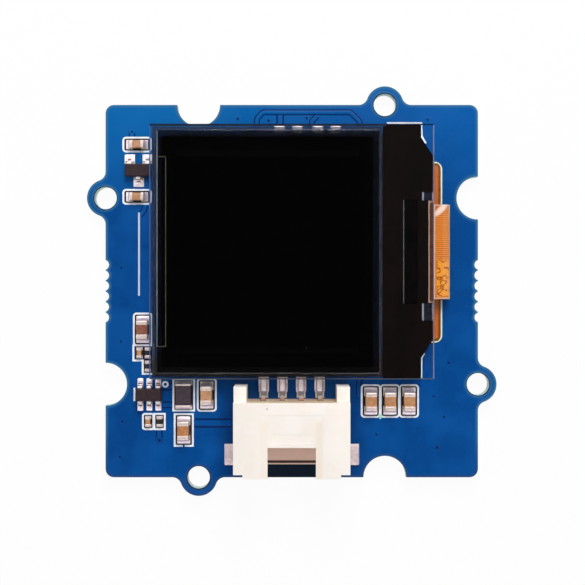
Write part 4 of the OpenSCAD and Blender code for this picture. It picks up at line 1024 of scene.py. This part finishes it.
for i in range(1, 5):
    s = socketSizes
    low, high = nodeBox(f"terminal_{i}")
    makePiece(f"contact_{i}", terminalShape(low, high), ["tinnedBrass"], [f"terminal_{i}"])
    # solder on both sides of the foot and past its tip
    middle = (low[0] + high[0]) / 2
    foot = socketRear + s["pinOut"] + s["pinThick"]
    reach, climb = s["sidePool"]
    side = solderPool(reach, (high[1] - foot) / 2 + 0.02, climb, foot=0.03, back=s["back"])
    side = place(side, s["pinWidth"] / 2)
    pools += [place(place(side, turn=turn), middle, (foot + high[1]) / 2, low[2]) for turn in (0, 180)]
    reach, climb = s["tipPool"]
    tip = solderPool(reach, s["pinWidth"] / 2 + s["tipWide"], climb, foot=0.05, back=s["back"])
    pools.append(place(place(tip, turn=90), middle, high[1], low[2]))


def tabShape(low, high, side):
    # upright in the wall, one bend, and a foot that reaches out onto the board
    s = socketSizes
    half = s["tabThick"] / 2
    inner, outer = (low[0], high[0]) if side > 0 else (-high[0], -low[0])
    corners = [(inner + half, high[2]), (inner + half, low[2] + half), (outer, low[2] + half)]
    strip = bentStrip(bentPath(corners, [s["tabBend"]], 6), high[1] - low[1], s["tabThick"], s["tabEdge"])
    return place(strip, turn=-90 * side, y=(low[1] + high[1]) / 2)


for node, side in (("fixing_tab_left", -1), ("fixing_tab_right", 1)):
    low, high = nodeBox(node)
    makePiece(node.replace("fixing", "solder"), tabShape(low, high, side), ["mattTin"], [node])
    reach, climb = socketSizes["tabPool"]
    pool = solderPool(reach, (high[1] - low[1]) / 2, climb, foot=0.03, back=socketSizes["back"])
    pool = place(pool, high[0] if side > 0 else -low[0])
    pools.append(place(place(pool, turn=90 - 90 * side), y=(low[1] + high[1]) / 2, z=low[2]))

makePiece("solder_joints", join(pools), ["solder"], ["solder_fillets"], angle=50)
# bare laminate patches, deepened by painted shade round the chips
makePiece("bare_and_shaded_patches", join(patches), ["bareLaminateAndShade"])
print("socket and solder")

# display panel
panelSizes = {"corner": 0.12, "cornerSteps": 4, "chamfer": 0.09, "filmEdge": 0.05, "filmCorner": 0.15,
              "filmLift": 0.002}
glassLow, glassHigh = nodeBox("display_glass")
filmLow, filmHigh = nodeBox("polariser_film")


def makePanel():
    s = panelSizes
    c, steps = s["chamfer"], s["cornerSteps"]
    half, middle = (glassHigh - glassLow) / 2, (glassHigh + glassLow) / 2
    profile = [(c, glassLow[2]), (0, glassLow[2] + c), (0, glassHigh[2] - c), (c, glassHigh[2])]
    glass = place(stack(half[0], half[1], s["corner"], profile, steps), middle[0], middle[1])
    # three bands of wall between four rings, then the two flat faces
    kinds = [1] * (3 * 4 * (steps + 1)) + [0, 0]
    makePiece("front_glass", glass, ["panelGlass", "groundGlassEdge"], ["display_glass"],
              faceFinish=kinds, angle=20)
    makePiece("polarising_sheet", plate(filmLow + [0, 0, s["filmLift"]], filmHigh, s["filmCorner"],
                                        s["filmEdge"]),
              ["polarisingFilm"], ["polariser_film"])


makePanel()
print("panel glass and film")

# flex circuit
flexSizes = {"thick": 0.12, "neck": 10.03, "bond": 10.76, "tail": 19.4, "corner": 0.8, "bondLength": 0.55,
             "shoulder": 0.15, "slit": 0.1}


def makeFlex():
    # one grid runs along the bond and round the fold, another covers the wide tail;
    # u is the place across the flex, v the way along it, rim the distance to a cut edge
    s = flexSizes
    low, high = nodeBox("flex_circuit")
    middle = (low[1] + high[1]) / 2
    t = s["thick"]
    top, base = high[2] - t / 2, low[2] + t / 2
    r = (top - base) / 2
    foldX = high[0] - t / 2 - r
    edgeX = glassHigh[0]
    flat = [(x, top) for x in (edgeX - s["bondLength"], edgeX - 0.2, edgeX, edgeX, edgeX + 0.3)]
    path = np.concatenate([flat, arc(foldX, base + r, r, 90, -90, 24)])
    along = pathLengths(path)
    half = np.where(np.arange(len(path)) < 3, s["bond"], s["neck"]) / 2
    y = half[:, None] * np.linspace(-1, 1, 41)
    normal = pathNormals(path)
    # the step at the glass edge has no length, so its normal is given
    normal[2:4] = (0, 1)
    grids = []
    for side in (t / 2, -t / 2):
        spot = path + side * normal
        grids.append(np.stack([np.broadcast_to(spot[:, :1], y.shape), y + middle,
                               np.broadcast_to(spot[:, 1:], y.shape)], -1))
    fold = thickSheet(*grids)
    uv = np.stack([y, np.broadcast_to(along[:, None], y.shape)], -1).reshape(-1, 2)
    rim = np.minimum(half[:, None] - np.abs(y), along[:, None] + 0.1).ravel()
    # the tail: rows along Y that reach from its left edge to its right one
    wide, c, gate = s["tail"] / 2, s["corner"], s["neck"] / 2 + s["slit"]
    row = np.concatenate([[0.0, gate - 0.01, gate], np.linspace(gate + 0.2, wide - c, 8),
                          wide - c + c * np.sin(np.linspace(0.15, pi / 2, 8))])
    row = np.concatenate([-row[:0:-1], row])
    inward = np.clip(np.abs(row) - (wide - c), 0, c)
    cut = c - np.sqrt(c ** 2 - inward ** 2)
    inNeck = np.abs(row) < gate - 0.005
    right = np.where(inNeck, foldX, foldX + s["shoulder"] - cut)
    left = low[0] + cut
    share = np.r_[0, 0.02, 0.05, np.linspace(0.1, 0.88, 8), 0.92, 0.94, 0.955, 0.97, 0.98, 0.99, 1]
    x = left[:, None] + (right - left)[:, None] * share
    spot = np.stack([x, np.broadcast_to(row[:, None] + middle, x.shape)], -1)
    tail = thickSheet(*[np.concatenate([spot, np.full((*x.shape, 1), z)], -1)
                        for z in (base + t / 2, low[2])])
    edge = np.minimum(wide - np.abs(row)[:, None], x - left[:, None])
    edge = np.where(inNeck[:, None], edge, np.minimum(edge, right[:, None] - x))
    onward = along[-1] + 0.5 + foldX + 1 - x
    tailUv = np.stack([np.broadcast_to(row[:, None], x.shape), onward], -1).reshape(-1, 2)
    makePiece("flex_sheet", join([fold, tail]), ["amberFilm"], ["flex_circuit"],
              uv=np.concatenate([uv, uv, tailUv, tailUv]),
              rim=np.concatenate([rim, rim, edge.ravel(), edge.ravel()]), angle=45)


makeFlex()
print("flex circuit")

# tape, glue and fine lines behind the glass
linerSizes = {"thick": 0.05, "sink": 0.01, "out": 0.3, "cornerOut": 0.16, "cornerCut": 1.25}
# windows: how far they reach in from the glass edge, half the way between them, and their
# lengths; heights are those of the glue's underside, the glue and its pale edges
windowSizes = {"reach": 1.24, "edgeIn": 0.12, "half": 5.44, "top": 0.9, "bottom": 1.85, "leftLine": 0.2,
               "rightLine": 0.06, "heights": (3.0, 3.2, 3.26)}
lineSizes = {"width": 0.1, "thick": 0.02, "strip": (-5.79, 14.24), "stripWide": 1.0, "shadeWide": 0.2,
             "right": 10.0}


def thinPlate(low, high, corner=0.02):
    # thin plate with hardly any rounding
    return plate(low, high, corner, 0.01, 1)


def makeLiner():
    # white liner under the black tape, which shows past it along the top edge and at
    # the two cut corners
    s = linerSizes
    low, high = nodeBox("shading_tape")
    z = low[2] - s["sink"]
    top, bottom, cut, out = high[1], low[1], high[0] - s["cornerCut"], s["cornerOut"]
    upper = [(10.13, top - 0.8), (cut - 0.6, top - 0.8), (cut - 0.6, 15.6), (14.1, 15.6), (14.3, 15.75),
             (cut + out + 0.05, 16.45), (cut + out, top + s["out"]), (10.13, top + s["out"])]
    lower = [(cut - 0.6, bottom + 0.1), (cut + out, bottom + 0.1), (cut + out, -7.15), (14.15, -6.65),
             (14.0, -6.5), (cut - 0.6, -6.5)]
    parts = [sheet(outline, z - s["thick"], z) for outline in (upper, lower)]
    makePiece("tape_liner", join(parts), ["tapeLiner"])
    # a short white line on the board just outside the glass: a painted glint of the glass edge
    mark = thinPlate([2.95, 17.84, boardTop - 0.005], [4.45, 17.96, boardTop + 0.03], 0.03)
    makePiece("edge_glint", mark, ["tapeLiner"])


def makeWindows():
    # grey glue seen through the two windows in the tape, each with pale edges
    s = windowSizes
    base, glued, lined = s["heights"]
    middle = (glassLow[1] + glassHigh[1]) / 2
    left, right = glassHigh[0] - s["reach"], glassHigh[0] - s["edgeIn"]
    top, bottom = middle + s["half"], middle - s["half"]
    glue, edges = [], []
    for low, high in ((top, top + s["top"]), (bottom - s["bottom"], bottom)):
        glue.append(thinPlate([left, low, base], [right, high, glued]))
        edges.append(thinPlate([left, low, glued], [left + s["leftLine"], high, lined]))
        edges.append(thinPlate([right - s["rightLine"], low, glued], [right, high, lined]))
    makePiece("window_glue", join(glue), ["bondGlue"])
    makePiece("window_edges", join(edges), ["windowEdge"])


def makeBacking():
    # black film behind the sealing glass; it stops short of the top edge and one corner
    low, high = nodeBox("sealing_glass")
    right, top = 10.1, high[1] - 0.66
    film = [(low[0] + 0.3, low[1] + 0.1), (right, low[1] + 0.1), (right, top), (low[0] + 1.8, top),
            (low[0] + 0.9, high[1] - 1.1), (low[0] + 0.4, high[1] - 1.9)]
    makePiece("back_film", sheet(film, low[2] - 0.03, low[2] - 0.01), ["backFilm"])


def line(x0, y0, x1, y1, z):
    return plate([x0, y0, z - lineSizes["thick"]], [x1, y1, z], 0.01, 0.005, 1)


def makeLines():
    # pale edges in the film: its own left edge, and the narrow strip beside it
    s = lineSizes
    w, x, z = s["width"], filmLow[0] + 0.01, filmHigh[2] - 0.015
    (low, high), wide = s["strip"], s["stripWide"]
    makePiece("film_edge", line(x, low, x + w, filmHigh[1] - 0.1, z), ["paleEdge"])
    strip = [line(x + wide - w, low, x + wide, high, z), line(x + w, high - w, x + wide, high, z),
             line(x, low - w, x + wide, low, z)]
    makePiece("film_strip", join(strip), ["dullEdge"])
    # painted shade: a dark strip along the top edge of the glass
    edgeShade = line(glassLow[0] + 0.1, glassHigh[1] - s["shadeWide"], s["right"], glassHigh[1] - 0.02,
                glassLow[2] + 0.04)
    makePiece("top_edge_shade", edgeShade, ["darkEdgeShade"])
    # painted highlight along the near edge of the driver chip, seen through the ledge
    chipLow, chipHigh = nodeBox("driver_chip")
    makePiece("driver_edge_glint", line(chipLow[0], chipLow[1], chipLow[0] + w, chipHigh[1], glassLow[2] + 0.03),
              ["greyEdgeGlint"])
    # a speck of flux on the print between two capacitors
    spot, half = np.array([9.51, -13.5, boardTop + 0.02]), np.array([0.14, 0.24, 0])
    speck = thinPlate(spot - half, spot + half + [0, 0, 0.03], 0.12)
    makePiece("flux_speck", speck, ["greenSpeck"])


makeLiner()
makeWindows()
makeBacking()
makeLines()

# nodes that keep their CAD shape and only get a finish
keptNodes = {"silkscreen_print": "whiteInk", "solder_lands": "tinnedLand", "emitting_layer": "emittingFilm",
             "desiccant_sheet": "dryingSheet", "sealing_glass": "sealingGlass", "edge_seal": "sealGlue",
             "driver_chip": "siliconBack", "shading_tape": "blackTape", "foam_tape": "greyFoam"}
for node, key in keptNodes.items():
    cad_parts[node].data.materials.clear()
    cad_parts[node].data.materials.append(materials[key])
print("kept nodes finished")

# floor, light and camera
lamps = {"mainLamp": {"spot": (25, 158, 183), "size": 120, "power": 0.46, "tone": (1.0, 0.99, 0.975)},
         "sideLamp": {"spot": (-190, 40, 130), "size": 120, "power": 0.075, "tone": (0.97, 0.98, 1.0)},
         "frontLamp": {"spot": (60, -190, 150), "size": 150, "power": 0.115, "tone": (1.0, 1.0, 1.0)}}
viewSizes = {"spot": (0.08, -0.15, 144.6), "sensor": 36, "lens": 81.95, "nearest": 10}
floorSizes = {"half": 600, "sink": 0.02}


def seenStraight(tree):
    # 1 for the camera's own rays, also through glass, 0 for light scattered by the object
    ray = put(tree, "LightPath").outputs
    scattered = maths(tree, "ADD", ray["Diffuse Depth"], ray["Glossy Depth"], clamp=True)
    through = times(tree, ray["Is Transmission Ray"], maths(tree, "SUBTRACT", 1.0, scattered))
    return maths(tree, "MAXIMUM", ray["Is Camera Ray"], through), ray


def makeFloor():
    # plain white floor that keeps the soft shadow, and can be looked through from below
    mat = bpy.data.materials.new("whiteFloor")
    mat.use_nodes = True
    tree = mat.node_tree
    tree.nodes.remove(tree.nodes["Principled BSDF"])
    seen, ray = seenStraight(tree)
    plain = put(tree, "BsdfDiffuse", {"Color": (0.8, 0.8, 0.8, 1)}).outputs[0]
    bright = put(tree, "Emission", {"Color": (1, 1, 1, 1), "Strength": 1.0}).outputs[0]
    share = times(tree, maths(tree, "MAXIMUM", seen, ray["Is Glossy Ray"]), 0.94)
    top = put(tree, "MixShader", {0: share, 1: plain, 2: bright}).outputs[0]
    clear = put(tree, "BsdfTransparent").outputs[0]
    back = put(tree, "NewGeometry").outputs["Backfacing"]
    both = put(tree, "MixShader", {0: back, 1: top, 2: clear}).outputs[0]
    tree.links.new(both, tree.nodes["Material Output"].inputs["Surface"])
    data = bpy.data.meshes.new("floor")
    size, z = floorSizes["half"] * mm, -floorSizes["sink"] * mm
    data.from_pydata([(-size, -size, z), (size, -size, z), (size, size, z), (-size, size, z)], [],
                     [(0, 1, 2, 3)])
    data.materials.append(mat)
    floor = bpy.data.objects.new("floor", data)
    bpy.context.scene.collection.objects.link(floor)
    floor.visible_diffuse = False


def makeWorld():
    # white where the camera looks; in reflections bright, but dark straight overhead and
    # low down behind; for soft light an even grey, and from below the glow of a white table
    world = bpy.data.worlds.new("studio")
    bpy.context.scene.world = world
    world.use_nodes = True
    tree = world.node_tree
    seen, ray = seenStraight(tree)
    way = put(tree, "SeparateXYZ", {"Vector": put(tree, "TexCoord").outputs["Generated"]}).outputs
    overhead = fade(tree, way["Z"], 0.93, 0.985, 1.0, 0.02)
    behind = within(tree, (way["Y"], 0.3, 0.8, 0.0, 0.8), (way["Z"], 0.4, 0.15))
    shine = times(tree, overhead, maths(tree, "SUBTRACT", 1.0, behind))
    shine = put(tree, "CombineColor", {0: shine, 1: shine, 2: shine}).outputs[0]
    below, above = (0.8, 0.81, 0.82, 1), (0.37, 0.375, 0.385, 1)
    soft = blend(tree, fade(tree, way["Z"], -0.1, 0.1), below, above)
    glossy = maths(tree, "MULTIPLY", ray["Is Transmission Ray"], ray["Glossy Depth"], clamp=True)
    glossy = maths(tree, "MAXIMUM", glossy, ray["Is Glossy Ray"])
    scattered = blend(tree, glossy, soft, shine)
    background = tree.nodes["Background"].inputs["Color"]
    tree.links.new(blend(tree, seen, scattered, (1, 1, 1, 1)), background)


def makeLamp(name, spot, size, power, tone):
    data = bpy.data.lights.new(name, "AREA")
    data.size = size * mm
    data.energy = power
    data.color = tone
    lamp = bpy.data.objects.new(name, data)
    lamp.location = Vector(spot) * mm
    lamp.rotation_mode = "QUATERNION"
    lamp.rotation_quaternion = (-lamp.location).to_track_quat("-Z", "Y")
    bpy.context.scene.collection.objects.link(lamp)


def makeCamera():
    # straight above the board, far enough that its tall parts spread only a little
    data = bpy.data.cameras.new("view")
    data.sensor_width = viewSizes["sensor"]
    data.lens = viewSizes["lens"]
    data.clip_start = viewSizes["nearest"] * mm
    camera = bpy.data.objects.new("view", data)
    camera.location = Vector(viewSizes["spot"]) * mm
    bpy.context.scene.collection.objects.link(camera)
    bpy.context.scene.camera = camera


makeFloor()
makeWorld()
for name, sizes in lamps.items():
    makeLamp(name, **sizes)
makeCamera()
bpy.context.scene.view_settings.view_transform = "Standard"
print("floor, light and camera")
